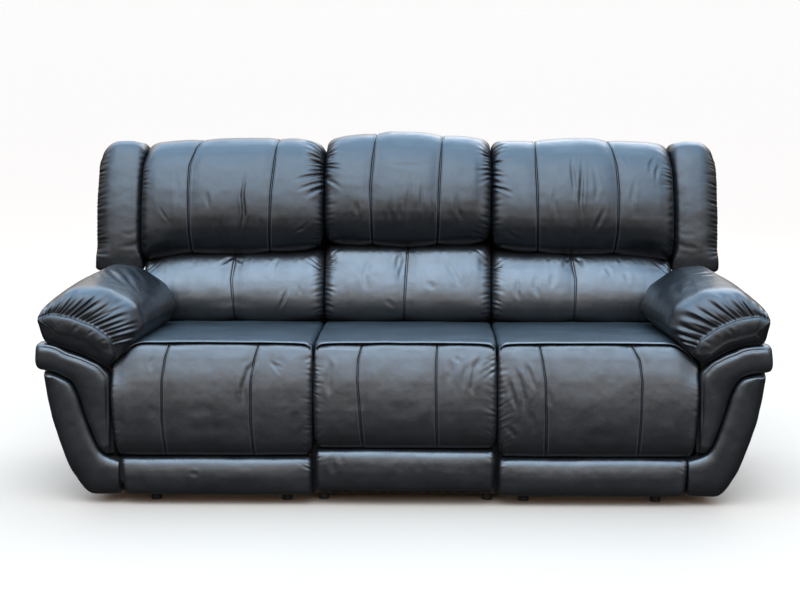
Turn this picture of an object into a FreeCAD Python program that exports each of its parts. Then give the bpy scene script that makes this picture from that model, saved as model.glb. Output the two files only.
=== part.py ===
# Three-seat reclining sofa in dark leather: two end seats that recline, one fixed centre seat.
# Frame: +X to the right as seen from the front, +Y to the rear, +Z up, millimetres.
# Origin on the floor, under the centre of the bounding box. A length along the depth is
# written as "f", the distance behind the foremost leather, and half_d turns it into Y.
import FreeCAD
import Part
import Sketcher
import math
import os
import re
from FreeCAD import Placement, Rotation
from FreeCAD import Vector as V

doc = FreeCAD.newDocument("reclining_sofa")

# ---------------------------------------------------------------- driving dimensions
CELLS = [
    ("half_d", 471.07, "half of the overall depth"),
    ("seat_split", 272, "X of the line between the centre seat and an end seat"),
    ("seat_gap", 6, "gap between neighbouring seats"),
    ("end_out", 864, "X of an end seat's outer face"),
    ("back_out", 857, "X of an end back's outer face"),
    ("arm_in", 875, "X of the arm box's inner face"),
    ("cap_out", 1080, "X of the arm cap's outer edge, half of the overall width"),
    ("crest_z", 486, "height of the front crest of the seats"),
    ("seat_rear_z", 457, "height of the seat at the lumbar crease"),
    ("seat_under_z", 394, "underside of the seat cushions"),
    ("seat_rear_f", 602, "rear face of the seat cushions"),
    ("fr_split_z", 144, "line between the front pad and the lower band, end seats"),
    ("fr_low_z", 40, "underside of the lower band, end seats"),
    ("ct_split_z", 170, "line between the front pad and the lower band, centre seat"),
    ("ct_low_z", 52, "underside of the lower band, centre seat"),
    ("pad_t", 50, "thickness of the front pads"),
    ("board_t", 15, "thickness of the footrest board"),
    ("ply", 18, "thickness of the plywood partitions"),
    ("rail_t", 22, "thickness of the timber rails"),
    ("rail_z", 310, "underside of the seat rails"),
    ("rail_top", 388, "top of the seat rails"),
    ("plate_t", 3, "thickness of the mechanism's plates"),
    ("lay_track", 284, "X of the track's web"),
    ("lay_rear", 304, "X of the rear links"),
    ("lay_front", 309, "X of the front links"),
    ("lay_ext", 314, "X of the extension arms and the back brackets"),
    ("lay_plate", 319, "X of the seat side plates and the footrest brackets"),
    ("mech_mid", 569.5, "X of the middle of a recliner mechanism"),
    ("piv_f", 62, "footrest pivot, behind the front; also the crest's radius"),
    ("piv_z", 424, "height of the footrest pivot"),
    ("gx_f", 250, "fixed pivot of the scissor, behind the front"),
    ("bar_z", 355, "height of the extension arms"),
    ("link_len", 150, "scissor links, between pivots"),
    ("link_df", 38.823, "link_len times the cosine of 75 degrees"),
    ("link_dz", 144.889, "link_len times the sine of 75 degrees"),
    ("roll_r", 14.5, "radius of the track rollers"),
    ("track_z", 180, "height of the track's middle"),
    ("back_f", 640, "back hinge, behind the front"),
    ("back_z", 350, "height of the back hinge"),
    ("lean", 12, "rearward lean of the backs at rest, degrees"),
    ("split_e", 320, "line between lumbar and upper cushion along the back, end backs"),
    ("split_c", 338, "the same, centre back"),
    ("top_e", 698, "top of the end backs, along the back"),
    ("top_c", 716, "top of the centre back, along the back"),
    ("w_front", 60, "front of the back frames, behind the hinge line"),
    ("w_back", 150, "rear of the back frames"),
    ("panel_t", 12, "thickness of the rear panels"),
    ("wing_out", 1011, "X of the wings' outer face"),
    ("arm_front", 62.5, "front of the arm boxes, behind the front"),
    ("arm_rear", 766, "rear of the arm boxes"),
    ("foot_r", 16, "radius of the glides and feet"),
    ("bolt_r", 4, "radius of the bolts"),
]
sheet = doc.addObject("Spreadsheet::Sheet", "dims")
for row, (alias, value, note) in enumerate(CELLS, 1):
    sheet.set("A%d" % row, note)
    sheet.set("B%d" % row, str(value))
    sheet.setAlias("B%d" % row, alias)
doc.recompute()
D = {alias: float(getattr(sheet, alias)) for alias, _, _ in CELLS}
NAMES = re.compile(r"\b(" + "|".join(sorted(D, key=len, reverse=True)) + r")\b")


def ex(e):
    """The expression text with every cell's name led by the sheet's."""
    return NAMES.sub(r"dims.\1", str(e))


def val(e):
    """The number an expression gives now: numbers, cell names, + - * / and brackets."""
    if not isinstance(e, str):
        return float(e)
    toks = re.findall(r"[a-z_]+|\d+\.\d+|\d+|[-+*/()]", e)
    at = [0]

    def take():
        at[0] += 1
        return toks[at[0] - 1]

    def peek():
        return toks[at[0]] if at[0] < len(toks) else ""

    def atom():
        t = take()
        if t == "-":
            return -atom()
        if t == "(":
            r = total()
            take()
            return r
        return D[t] if t in D else float(t)

    def product():
        r = atom()
        while peek() in ("*", "/") and peek():
            r = r * atom() if take() == "*" else r / atom()
        return r

    def total():
        r = product()
        while peek() in ("+", "-") and peek():
            r = r + product() if take() == "+" else r - product()
        return r

    return total()


def bound(e):
    return isinstance(e, str) and NAMES.search(e) is not None


def bind(obj, prop, e, unit=""):
    """Ties a property to an expression of the sheet's cells."""
    obj.setExpression(prop, ("(%s)%s" % (ex(e), unit)) if unit else ex(e))


NODES = []


def node(obj, label):
    obj.Label = label
    NODES.append((label, obj))
    return obj


def fy(f):
    return "(%s)-half_d" % f


def sx(s, x):
    return "(%s)" % x if s >= 0 else "-(%s)" % x


def span(s, a, b):
    """Lowest X and length of the stretch a..b, mirrored on the left side."""
    return ("(%s)" % a if s >= 0 else "-(%s)" % b), "(%s)-(%s)" % (b, a)


def mech(sd, a, b):
    """The stretch a..b of a mechanism's inner side, or its mirror image near the arm."""
    return (a, b) if sd == "in" else ("2*mech_mid-(%s)" % b, "2*mech_mid-(%s)" % a)


# ---------------------------------------------------------------- builders
ROLES = {"YZ": "YZ_Plane", "XZ": "XZ_Plane", "XY": "XY_Plane"}


def new_body():
    return doc.addObject("PartDesign::Body", "body")


def sketch(body, plane, offset, loops, circles=(), arcs=None):
    """A sketch of closed loops and circles, offset along the plane's normal. Every vertex is
    held by its two distances from the sketch's origin. arcs maps a side of the first loop
    to its centre and sense."""
    sk = body.newObject("Sketcher::SketchObject", "sketch")
    origin = [p for p in body.Origin.OriginFeatures if p.Role == ROLES[plane]][0]
    sk.AttachmentSupport = [(origin, "")]
    sk.MapMode = "FlatFace"
    sk.AttachmentOffset = Placement(V(0, 0, val(offset)), Rotation())
    if bound(offset):
        bind(sk, "AttachmentOffset.Base.z", offset)
    cons, ties = [], []

    def place(g, pos, a, b):
        for kind, axis, e in (("DistanceX", -2, a), ("DistanceY", -1, b)):
            v = val(e)
            if abs(v) < 1e-9:
                cons.append(Sketcher.Constraint("PointOnObject", g, pos, axis))
            elif v > 0:
                cons.append(Sketcher.Constraint(kind, -1, 1, g, pos, v))
                if bound(e):
                    ties.append((len(cons) - 1, e))
            else:
                cons.append(Sketcher.Constraint(kind, g, pos, -1, 1, -v))
                if bound(e):
                    ties.append((len(cons) - 1, "-(%s)" % e))

    count = 0
    for k, loop in enumerate(loops):
        first, n = count, len(loop)
        pts = [V(val(a), val(b), 0) for a, b in loop]
        ends = []
        for i in range(n):
            p, q = pts[i], pts[(i + 1) % n]
            if arcs and k == 0 and i in arcs:
                ca, cb, ccw = arcs[i]
                c = V(val(ca), val(cb), 0)
                a0, a1 = (p - c, q - c) if ccw else (q - c, p - c)
                t0, t1 = math.atan2(a0.y, a0.x), math.atan2(a1.y, a1.x)
                if t1 < t0:
                    t1 += 2 * math.pi
                geo = Part.ArcOfCircle(Part.Circle(c, V(0, 0, 1), a0.Length), t0, t1)
                ends.append((1, 2) if ccw else (2, 1))
            else:
                geo = Part.LineSegment(p, q)
                ends.append((1, 2))
            sk.addGeometry(geo, False)
            count += 1
        for i in range(n):
            j = (i + 1) % n
            cons.append(Sketcher.Constraint("Coincident", first + i, ends[i][1], first + j, ends[j][0]))
            place(first + i, ends[i][0], loop[i][0], loop[i][1])
            if arcs and k == 0 and i in arcs:
                v = val(arcs[i][0])
                if v > 0:
                    cons.append(Sketcher.Constraint("DistanceX", -1, 1, first + i, 3, v))
                    ties.append((len(cons) - 1, arcs[i][0]))
                else:
                    cons.append(Sketcher.Constraint("DistanceX", first + i, 3, -1, 1, -v))
                    ties.append((len(cons) - 1, "-(%s)" % arcs[i][0]))
    for a, b, r in circles:
        sk.addGeometry(Part.Circle(V(val(a), val(b), 0), V(0, 0, 1), val(r)), False)
        place(count, 3, a, b)
        cons.append(Sketcher.Constraint("Radius", count, val(r)))
        if bound(r):
            ties.append((len(cons) - 1, r))
        count += 1
    sk.addConstraint(cons)
    for i, e in ties:
        bind(sk, "Constraints[%d]" % i, e)
    return sk


def pad(body, plane, offset, loops, length, circles=(), arcs=None):
    p = body.newObject("PartDesign::Pad", "pad")
    p.Profile = sketch(body, plane, offset, loops, circles, arcs)
    p.Length = val(length)
    if bound(length):
        bind(p, "Length", length)
    doc.recompute()
    return p


def pocket(body, plane, offset, loops, length):
    """Cuts the loops out of the body, from the sketch's plane along its normal."""
    before = body.Shape.Volume
    p = body.newObject("PartDesign::Pocket", "pocket")
    p.Profile = sketch(body, plane, offset, loops)
    p.Length = val(length)
    if bound(length):
        bind(p, "Length", length)
    p.Reversed = True
    doc.recompute()
    if not body.Shape.Volume < before - 1:
        raise RuntimeError("a pocket cut nothing")
    return p


def dress(body, kind, size, test):
    """Rounds or chamfers those edges of the body's last feature that pass the test."""
    base = body.Tip
    names = []
    for i, e in enumerate(base.Shape.Edges, 1):
        m = e.valueAt((e.FirstParameter + e.LastParameter) / 2)
        if test(e, m):
            names.append("Edge%d" % i)
    if not names:
        raise RuntimeError("no edges to round")
    f = body.newObject("PartDesign::" + kind, kind.lower())
    f.Base = (base, names)
    setattr(f, "Radius" if kind == "Fillet" else "Size", size)
    doc.recompute()
    return f


def prism_x(s, a, b, pts, holes=(), arcs=None):
    """A profile in f and z, drawn out along X from a to b."""
    low, length = span(s, a, b)
    body = new_body()
    pad(body, "YZ", low, [[(fy(f), z) for f, z in pts]], length, [(fy(f), z, r) for f, z, r in holes],
        {i: (fy(f), z, ccw) for i, (f, z, ccw) in arcs.items()} if arcs else None)
    return body


def prism_y(s, f0, f1, pts):
    """A profile in x and z, mirrored on the left side, drawn out from f0 to f1."""
    body = new_body()
    pad_y(body, s, f0, f1, pts)
    return body


def pad_y(body, s, f0, f1, pts):
    # the XZ plane's normal is -Y, so the sketch lies at the far end
    return pad(body, "XZ", "half_d-(%s)" % f1, [[(sx(s, x), z) for x, z in pts]], "(%s)-(%s)" % (f1, f0))


def pocket_y(body, s, f0, f1, pts):
    return pocket(body, "XZ", "half_d-(%s)" % f1, [[(sx(s, x), z) for x, z in pts]], "(%s)-(%s)" % (f1, f0))


def loft_y(s, sections):
    """A ruled loft through profiles in x and z, each at its own f."""
    body = new_body()
    sks = [sketch(body, "XZ", "half_d-(%s)" % f, [[(sx(s, x), z) for x, z in pts]]) for f, pts in sections]
    loft = body.newObject("PartDesign::AdditiveLoft", "loft")
    loft.Profile = sks[0]
    loft.Sections = sks[1:]
    loft.Ruled = True
    doc.recompute()
    return body


def leaned(obj):
    """Puts an object drawn in the back's own axes on the back hinge, leaning rearwards."""
    obj.Placement = Placement(V(0, 0, 0), Rotation(V(-1, 0, 0), D["lean"]))
    bind(obj, "Placement.Base.y", fy("back_f"))
    bind(obj, "Placement.Base.z", "back_z")
    return obj


def prism_b(s, a, b, pts, holes=()):
    """A profile in the back's own axes, w rearwards and v up the back, along X from a to b."""
    low, length = span(s, a, b)
    body = new_body()
    pad(body, "YZ", low, [pts], length, holes)
    return leaned(body)


def box(s, xa, xb, fa, fb, za, zb):
    low, length = span(s, xa, xb)
    o = doc.addObject("Part::Box", "box")
    for prop, e in (
        ("Length", length),
        ("Width", "(%s)-(%s)" % (fb, fa)),
        ("Height", "(%s)-(%s)" % (zb, za)),
        ("Placement.Base.x", low),
        ("Placement.Base.y", fy(fa)),
        ("Placement.Base.z", za),
    ):
        bind(o, prop, e)
    return o


def rod(s, xa, xb, f, z, r):
    """A round bar along X."""
    low, length = span(s, xa, xb)
    o = doc.addObject("Part::Cylinder", "rod")
    o.Placement = Placement(V(0, 0, 0), Rotation(V(0, 1, 0), 90))
    for prop, e in (
        ("Radius", r),
        ("Height", length),
        ("Placement.Base.x", low),
        ("Placement.Base.y", fy(f)),
        ("Placement.Base.z", z),
    ):
        bind(o, prop, e)
    return o


def peg(x, f, z0, z1, r):
    """A round foot along Z."""
    o = doc.addObject("Part::Cylinder", "peg")
    for prop, e in (
        ("Radius", r),
        ("Height", "(%s)-(%s)" % (z1, z0)),
        ("Placement.Base.x", x),
        ("Placement.Base.y", fy(f)),
        ("Placement.Base.z", z0),
    ):
        bind(o, prop, e)
    return o


def fuse(parts):
    o = doc.addObject("Part::MultiFuse", "fuse")
    o.Shapes = parts
    return o


def cut(base, tools):
    o = doc.addObject("Part::Cut", "cut")
    o.Base = base
    o.Tool = tools[0] if len(tools) == 1 else fuse(tools)
    return o


def group(parts):
    o = doc.addObject("Part::Compound", "group")
    o.Links = parts
    return o


def rounded_path(points):
    """Straight runs joined by tangent arcs, each as large as its two runs allow."""
    edges, start, radii = [], points[0], []
    for i in range(1, len(points) - 1):
        a, b, c = points[i - 1], points[i], points[i + 1]
        u, w = a - b, c - b
        la, lb = u.Length, w.Length
        u.normalize()
        w.normalize()
        turn = math.pi - math.acos(max(-1.0, min(1.0, u.dot(w))))
        r = 0.45 * min(la, lb) / math.tan(turn / 2)
        d = 0.45 * min(la, lb)
        p, q = b + u * d, b + w * d
        m = u + w
        m.normalize()
        mid = b + m * (r / math.cos(turn / 2) - r)
        edges.append(Part.LineSegment(start, p).toShape())
        edges.append(Part.Arc(p, mid, q).toShape())
        radii.append(round(r, 1))
        start = q
    edges.append(Part.LineSegment(start, points[-1]).toShape())
    return Part.Wire(edges), radii


def tube(path, radius):
    e = path.Edges[0]
    t0 = e.FirstParameter
    ring = Part.Wire([Part.Circle(e.valueAt(t0), e.tangentAt(t0), radius).toShape()])
    solid = path.makePipeShell([ring], True, False, 0)
    if solid.ShapeType != "Solid":
        solid = Part.Solid(solid)
    want = math.pi * radius * radius * path.Length
    if abs(solid.Volume - want) > 0.02 * want:
        raise RuntimeError("a tube's volume is off")
    return solid


def springs(xs):
    """Sinuous springs: wires that wind from the front rail to the rear rail."""
    solids = []
    r, half, z = 12.5, 17.0, D["rail_top"] + 2.0
    for x in xs:
        y, side, edges = 104 - D["half_d"], 1, []
        count = 19
        for i in range(count + 1):
            a, b = V(x - side * half, y, z), V(x + side * half, y, z)
            edges.append(Part.LineSegment(a, b).toShape())
            if i < count:
                e = b + V(0, 2 * r, 0)
                edges.append(Part.Arc(b, b + V(side * r, r, 0), e).toShape())
                y, side = y + 2 * r, -side
        solids.append(tube(Part.Wire(edges), 1.9))
    o = doc.addObject("Part::Feature", "springs")
    o.Shape = Part.makeCompound(solids)
    return o


# ---------------------------------------------------------------- arms
# Outlines seen from the front, right side, X and Z.
J_INNER = [(1050, 401), (1000, 391), (976, 369), (962, 338), (945, 275), (928, 223), (910, 179), (888, 156), (848, 139)]
J_OUTER = [(848, 40), (921, 38), (942, 48), (972, 88), (1002, 145), (1025, 215), (1044, 290), (1053, 340), (1060, 399)]
SIDE_OUT = [(910, 40), (921, 40), (940, 50), (969, 90), (998, 147), (1021, 215), (1043, 325), (1050, 398)]
CAP_TOP = [("arm_in-1.5", 408), (901, 446), (940, 468), (990, 484), (1056, 486), ("cap_out", 467), ("cap_out", 428), (1072, 408), (1050, 402.5)]
CAP_LOW = [(1000, 392.5), (974.5, 370.5), (960.5, 338.5), (943.5, 275.5), (926.5, 223.5), (908.5, 180.5), (887, 157.5), ("arm_in-1.5", 152)]


def arm(s, L):
    # box of the arm, made of boards
    boards = [
        [("arm_in", 42), ("arm_in+15", 42), ("arm_in+15", 438), ("arm_in", 430)],
        [(893, 42), (908, 42), (1000, 392), (985, 392)],
        [(985, 392), (1000, 392), (1000, 483), (985, 479)],
        [("arm_in+15", 423), (940, 452), (940, 467), ("arm_in+15", 438)],
        [(940, 452), (985, 464), (985, 479), (940, 467)],
    ]
    parts = []
    for i, b in enumerate(boards):
        p = prism_y(s, "arm_front", "arm_rear", b)
        if i == 0:
            p = cut(p, [rod(s, "arm_in-5", "arm_in+20", 180, 120, "bolt_r+0.2"),
                        rod(s, "arm_in-5", "arm_in+20", 500, 120, "bolt_r+0.2"),
                        rod(s, "arm_in-5", "arm_in+20", 300, 180, 8)])
        if i == 1:
            p = cut(p, [box(s, 940, 1000, 420, 440, 275, 296)])
        parts.append(p)
    parts.append(prism_y(s, "arm_front", "arm_front+15", [("arm_in+15", 42), (893, 42), (985, 392), (985, 464), (940, 452), ("arm_in+15", 423)]))
    node(group(parts), L + "arm_frame")

    # outside panel, padded, tapering in towards the rear, and the panel that closes the rear
    inner = [(1002, 398), (1002, 391)]
    taper = [(x - 24 if x > 960 else x, z) for x, z in SIDE_OUT[1:]]
    side = loft_y(s, [("arm_front+0.5", SIDE_OUT + inner), (520, SIDE_OUT + inner),
                      ("arm_rear", [SIDE_OUT[0]] + taper + inner)])
    rear = prism_y(s, "arm_rear+0.5", "arm_rear+13", [SIDE_OUT[0]] + taper + [(1002, 398), (1002, 483), (990, 483), (940, 467), (903, 445), ("arm_in", 430), ("arm_in", 40)])
    dress(rear, "Fillet", 6, lambda e, m: m.y > D["arm_rear"] + 12.9 - D["half_d"])
    seat_at = Placement(V(s * 1032.0, 430 - D["half_d"], 270), side_turn(s))
    well = doc.addObject("Part::Box", "box")
    well.Length, well.Width, well.Height = 60, 140, 70
    well.Placement = seat_at.multiply(Placement(V(-38, -70, -35), Rotation()))
    lead = box(s, 960, 1010, 420, 440, 275, 296)
    node(group([cut(side, [well, lead]), rear]), L + "arm_side_panel")

    # cap: the padded band under the arm pad, down the front and along the side
    front = prism_y(s, 10, 62, CAP_TOP + CAP_LOW)
    dress(front, "Fillet", 6, lambda e, m: m.y < 10.1 - D["half_d"])
    rail = [(1003, 485), (1003, 400), (1052, 400), (1072, 408), ("cap_out", 428), ("cap_out", 467), (1056, 485)]
    mid = [(1003, 485), (1003, 400), (1050, 400), (1063, 408), (1069, 428), (1069, 467), (1047, 485)]
    end = [(1003, 485), (1003, 400), (1026, 400), (1036, 408), (1042, 428), (1042, 467), (1024, 485)]
    node(group([front, loft_y(s, [(62.5, rail), (520, mid), ("arm_rear+12", end)])]), L + "arm_cap")

    # bolster: the padded J that carries the front of the arm down to the base
    j = prism_y(s, 8, 61.5, J_INNER + J_OUTER)
    dress(j, "Fillet", 6, lambda e, m: m.y < 8.1 - D["half_d"])
    node(j, L + "arm_front_bolster")

    # pillow pad on top, bulging in over the seat
    low = [(990, 487.5), (940, 471.5), (903, 449.5), (880, 441)]
    ahead = [
        (20, [(1054, 489.5)] + low[:3] + [(880, 428), (868, 448), (850, 470), (864, 494), (912, 532), (975, 560), (1040, 572), (1076, 556)]),
        (105, [(1056, 489.5)] + low + [(868, 466), (812, 493), (778, 524), (806, 590), (884, 640), (985, 642), (1077, 566)]),
        (492, [(1046, 489.5)] + low + [(868, 463), (790, 474), (743, 502), (775, 584), (850, 642), (940, 652), (1040, 584)]),
        (530, [(1044, 489.5)] + low + [(874, 456), (873, 474), (872, 502), (872, 584), (880, 636), (940, 648), (1038, 582)]),
    ]
    behind = [
        ahead[-1],
        (640, [(1034, 489.5)] + low + [(874, 456), (874, 474), (874, 502), (874, 560), (886, 592), (940, 600), (1030, 560)]),
        (772, [(1020, 489.5)] + low + [(874, 456), (874, 474), (874, 488), (874, 504), (888, 522), (940, 528), (1014, 516)]),
    ]
    node(group([loft_y(s, ahead), loft_y(s, behind)]), L + "arm_pad")

    # recessed release: a cup let into the side, with a sprung paddle on a pin
    cup = new_body()
    pad(cup, "YZ", "0", [[(-80, -44), (80, -44), (80, 44), (-80, 44)]], "3")
    pad(cup, "YZ", "-36", [[(-68, -33), (68, -33), (68, 33), (-68, 33)]], "36")
    dress(cup, "Fillet", 14, lambda e, m: abs(m.x - 1.5) < 0.1 and abs(abs(m.y) - 80) < 0.1)
    dress(cup, "Fillet", 2, lambda e, m: abs(m.x - 3) < 0.1)
    pocket(cup, "YZ", "-33", [[(-65, -30), (65, -30), (65, 30), (-65, 30)]], "36.5")
    pin = along_y(-8, 20, -66.5, 66.5, 2)
    paddle = new_body()
    pad(paddle, "XZ", "-62", [[(-10.5, 17), (-5.5, 17), (-3.5, 8), (-3.5, -10), (-8, -16), (-14, -18), (-15, -14), (-9.5, -12), (-7.5, -8), (-7.5, 8)]], "124")
    barrel = cut(fuse([paddle, along_y(-8, 20, -62, 62, 5)]), [along_y(-8, 20, -70, 70, 2.08)])
    for o, name in ((fuse([cup, pin]), "handle_bezel"), (barrel, "release_handle")):
        o.Placement = seat_at
        node(o, L + name)

    # release cable: from the cup, inside the arm, to the cable stop on the track
    route = [seat_at.multVec(V(-36, 0, 0)), seat_at.multVec(V(-78, 0, 0))] + [V(s * x, f - D["half_d"], z) for x, f, z in (
        (919, 421, 266), (907, 391, 229), (906, 352, 200), (903, 316, 183), (890, 300, 180), (867, 300, 180))]
    path, radii = rounded_path(route)
    cable = doc.addObject("Part::Feature", "cable")
    cable.Shape = tube(path, 2.5)
    print(L + "release_cable: length %.0f, radii %s" % (path.Length, radii))
    node(cable, L + "release_cable")


def side_turn(s):
    """The slant of the arm's side: its outward normal points a little down."""
    a = math.degrees(math.atan2(22, 110))
    return Rotation(V(0, 1, 0), a) if s > 0 else Rotation(V(0, 1, 0), -a).multiply(Rotation(V(0, 0, 1), 180))


def along_y(x, z, y0, y1, r):
    o = doc.addObject("Part::Cylinder", "rod")
    o.Radius, o.Height = r, y1 - y0
    o.Placement = Placement(V(x, y1, z), Rotation(V(1, 0, 0), 90))
    return o


# ---------------------------------------------------------------- backs
def back(s, L, xa, xb, split, top):
    end = s != 0
    lumbar = prism_b(s, xa, xb, [(-118, 94), (-127, 160), (-126, 240), (-114, "%s-6" % split), (56, "%s-6" % split), (56, 62), (-44, 62), (-62, 106)])
    dress(lumbar, "Fillet", 9, lambda e, m: e.Length > 500)
    node(lumbar, L + "lumbar_cushion")
    upper = [
        (-110, split), (-136, "%s+10" % split), (-146, "%s+50" % split), (-140, "%s+130" % split), (-122, "%s-150" % top),
        (-104, "%s-62" % top), (-72, "%s-18" % top), (-26, top), (96, top), (136, "%s-12" % top), ("w_back", "%s-32" % top),
        ("w_back", "%s-43" % top), (56, "%s-43" % top), (56, split),
    ]
    node(prism_b(s, xa, xb, upper), L + "upper_cushion")

    # timber frame: two uprights on edge and four rails between them
    if end:
        ups = [mech("in", "lay_ext+plate_t", "lay_ext+plate_t+rail_t"), mech("out", "lay_ext+plate_t", "lay_ext+plate_t+rail_t")]
        foot = -30
    else:
        ups = [("-(seat_split-6)", "-(seat_split-6)+rail_t"), ("seat_split-6-rail_t", "seat_split-6")]
        foot = -225
    parts = []
    vt = "%s-48" % top
    for a, b in ups:
        parts.append(prism_b(s, a, b, [("w_front", foot), ("w_back", foot), ("w_back", vt), ("w_front", vt)]))
    for v0, v1 in (("-30", "50"), ("190", "250"), ("400", "450"), ("%s-98" % top, vt)):
        parts.append(prism_b(s, ups[0][1], ups[1][0], [("w_front", v0), ("w_front+rail_t", v0), ("w_front+rail_t", v1), ("w_front", v1)]))
    if end:
        parts.append(prism_b(s, ups[1][1], "985", [("w_front", 345), ("w_front+ply", 345), ("w_front+ply", 635), ("w_front", 635)]))
    node(group(parts), L + "back_frame")

    # rear panel, which also backs the wing
    body = new_body()
    vt = "%s-30" % top
    if end:
        loop = [(xa, -60), ("end_out-2", -60), ("end_out-2", 332), ("wing_out-3", 332), ("wing_out-3", 640), ("wing_out-40", 668), (xb, vt), (xa, vt)]
    else:
        loop = [(xa, -262), (xb, -262), (xb, vt), (xa, vt)]
    pad(body, "XZ", "-(w_back+1+panel_t)", [[(sx(s, x), z) for x, z in loop]], "panel_t")
    dress(body, "Fillet", 4, lambda e, m: m.y > D["w_back"] + 0.9 + D["panel_t"])
    node(leaned(body), L + "back_rear_panel")
    if not end:
        return

    # wing at the outer side of the back, round the wing board
    low, length = span(s, "back_out+3", "wing_out")
    body = new_body()
    pad(body, "YZ", low, [[(-80, 276), ("w_back", 324), ("w_back", 652), (124, 676), (44, 690), (-20, 686), (-62, 662), (-82, 600)]], length)
    dress(body, "Fillet", 24, lambda e, m: abs(m.x) > D["wing_out"] - 0.1 and m.y < D["w_back"] - 1)
    low, length = span(s, "back_out+3", "986")
    pocket(body, "YZ", low, [[("w_front-0.5", 344), ("w_front+ply+0.5", 344), ("w_front+ply+0.5", 636), ("w_front-0.5", 636)]], length)
    node(leaned(body), L + "back_wing")

    # steel brackets on the uprights, with the hinge pins
    parts = []
    plate = [(-24, 6), (-22, -14), (-8, -26), (40, -30), ("w_back", -30), ("w_back", 200), ("w_front", 200), ("w_front", 58), (14, 26), (-10, 24)]
    for sd in ("in", "out"):
        parts.append(prism_b(s, *mech(sd, "lay_ext", "lay_ext+plate_t"), plate))
        parts.append(rod(s, *mech(sd, "lay_ext+plate_t", "lay_plate+plate_t+2"), "back_f", "back_z", 6))
    node(group(parts), L + "back_brackets")


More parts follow.
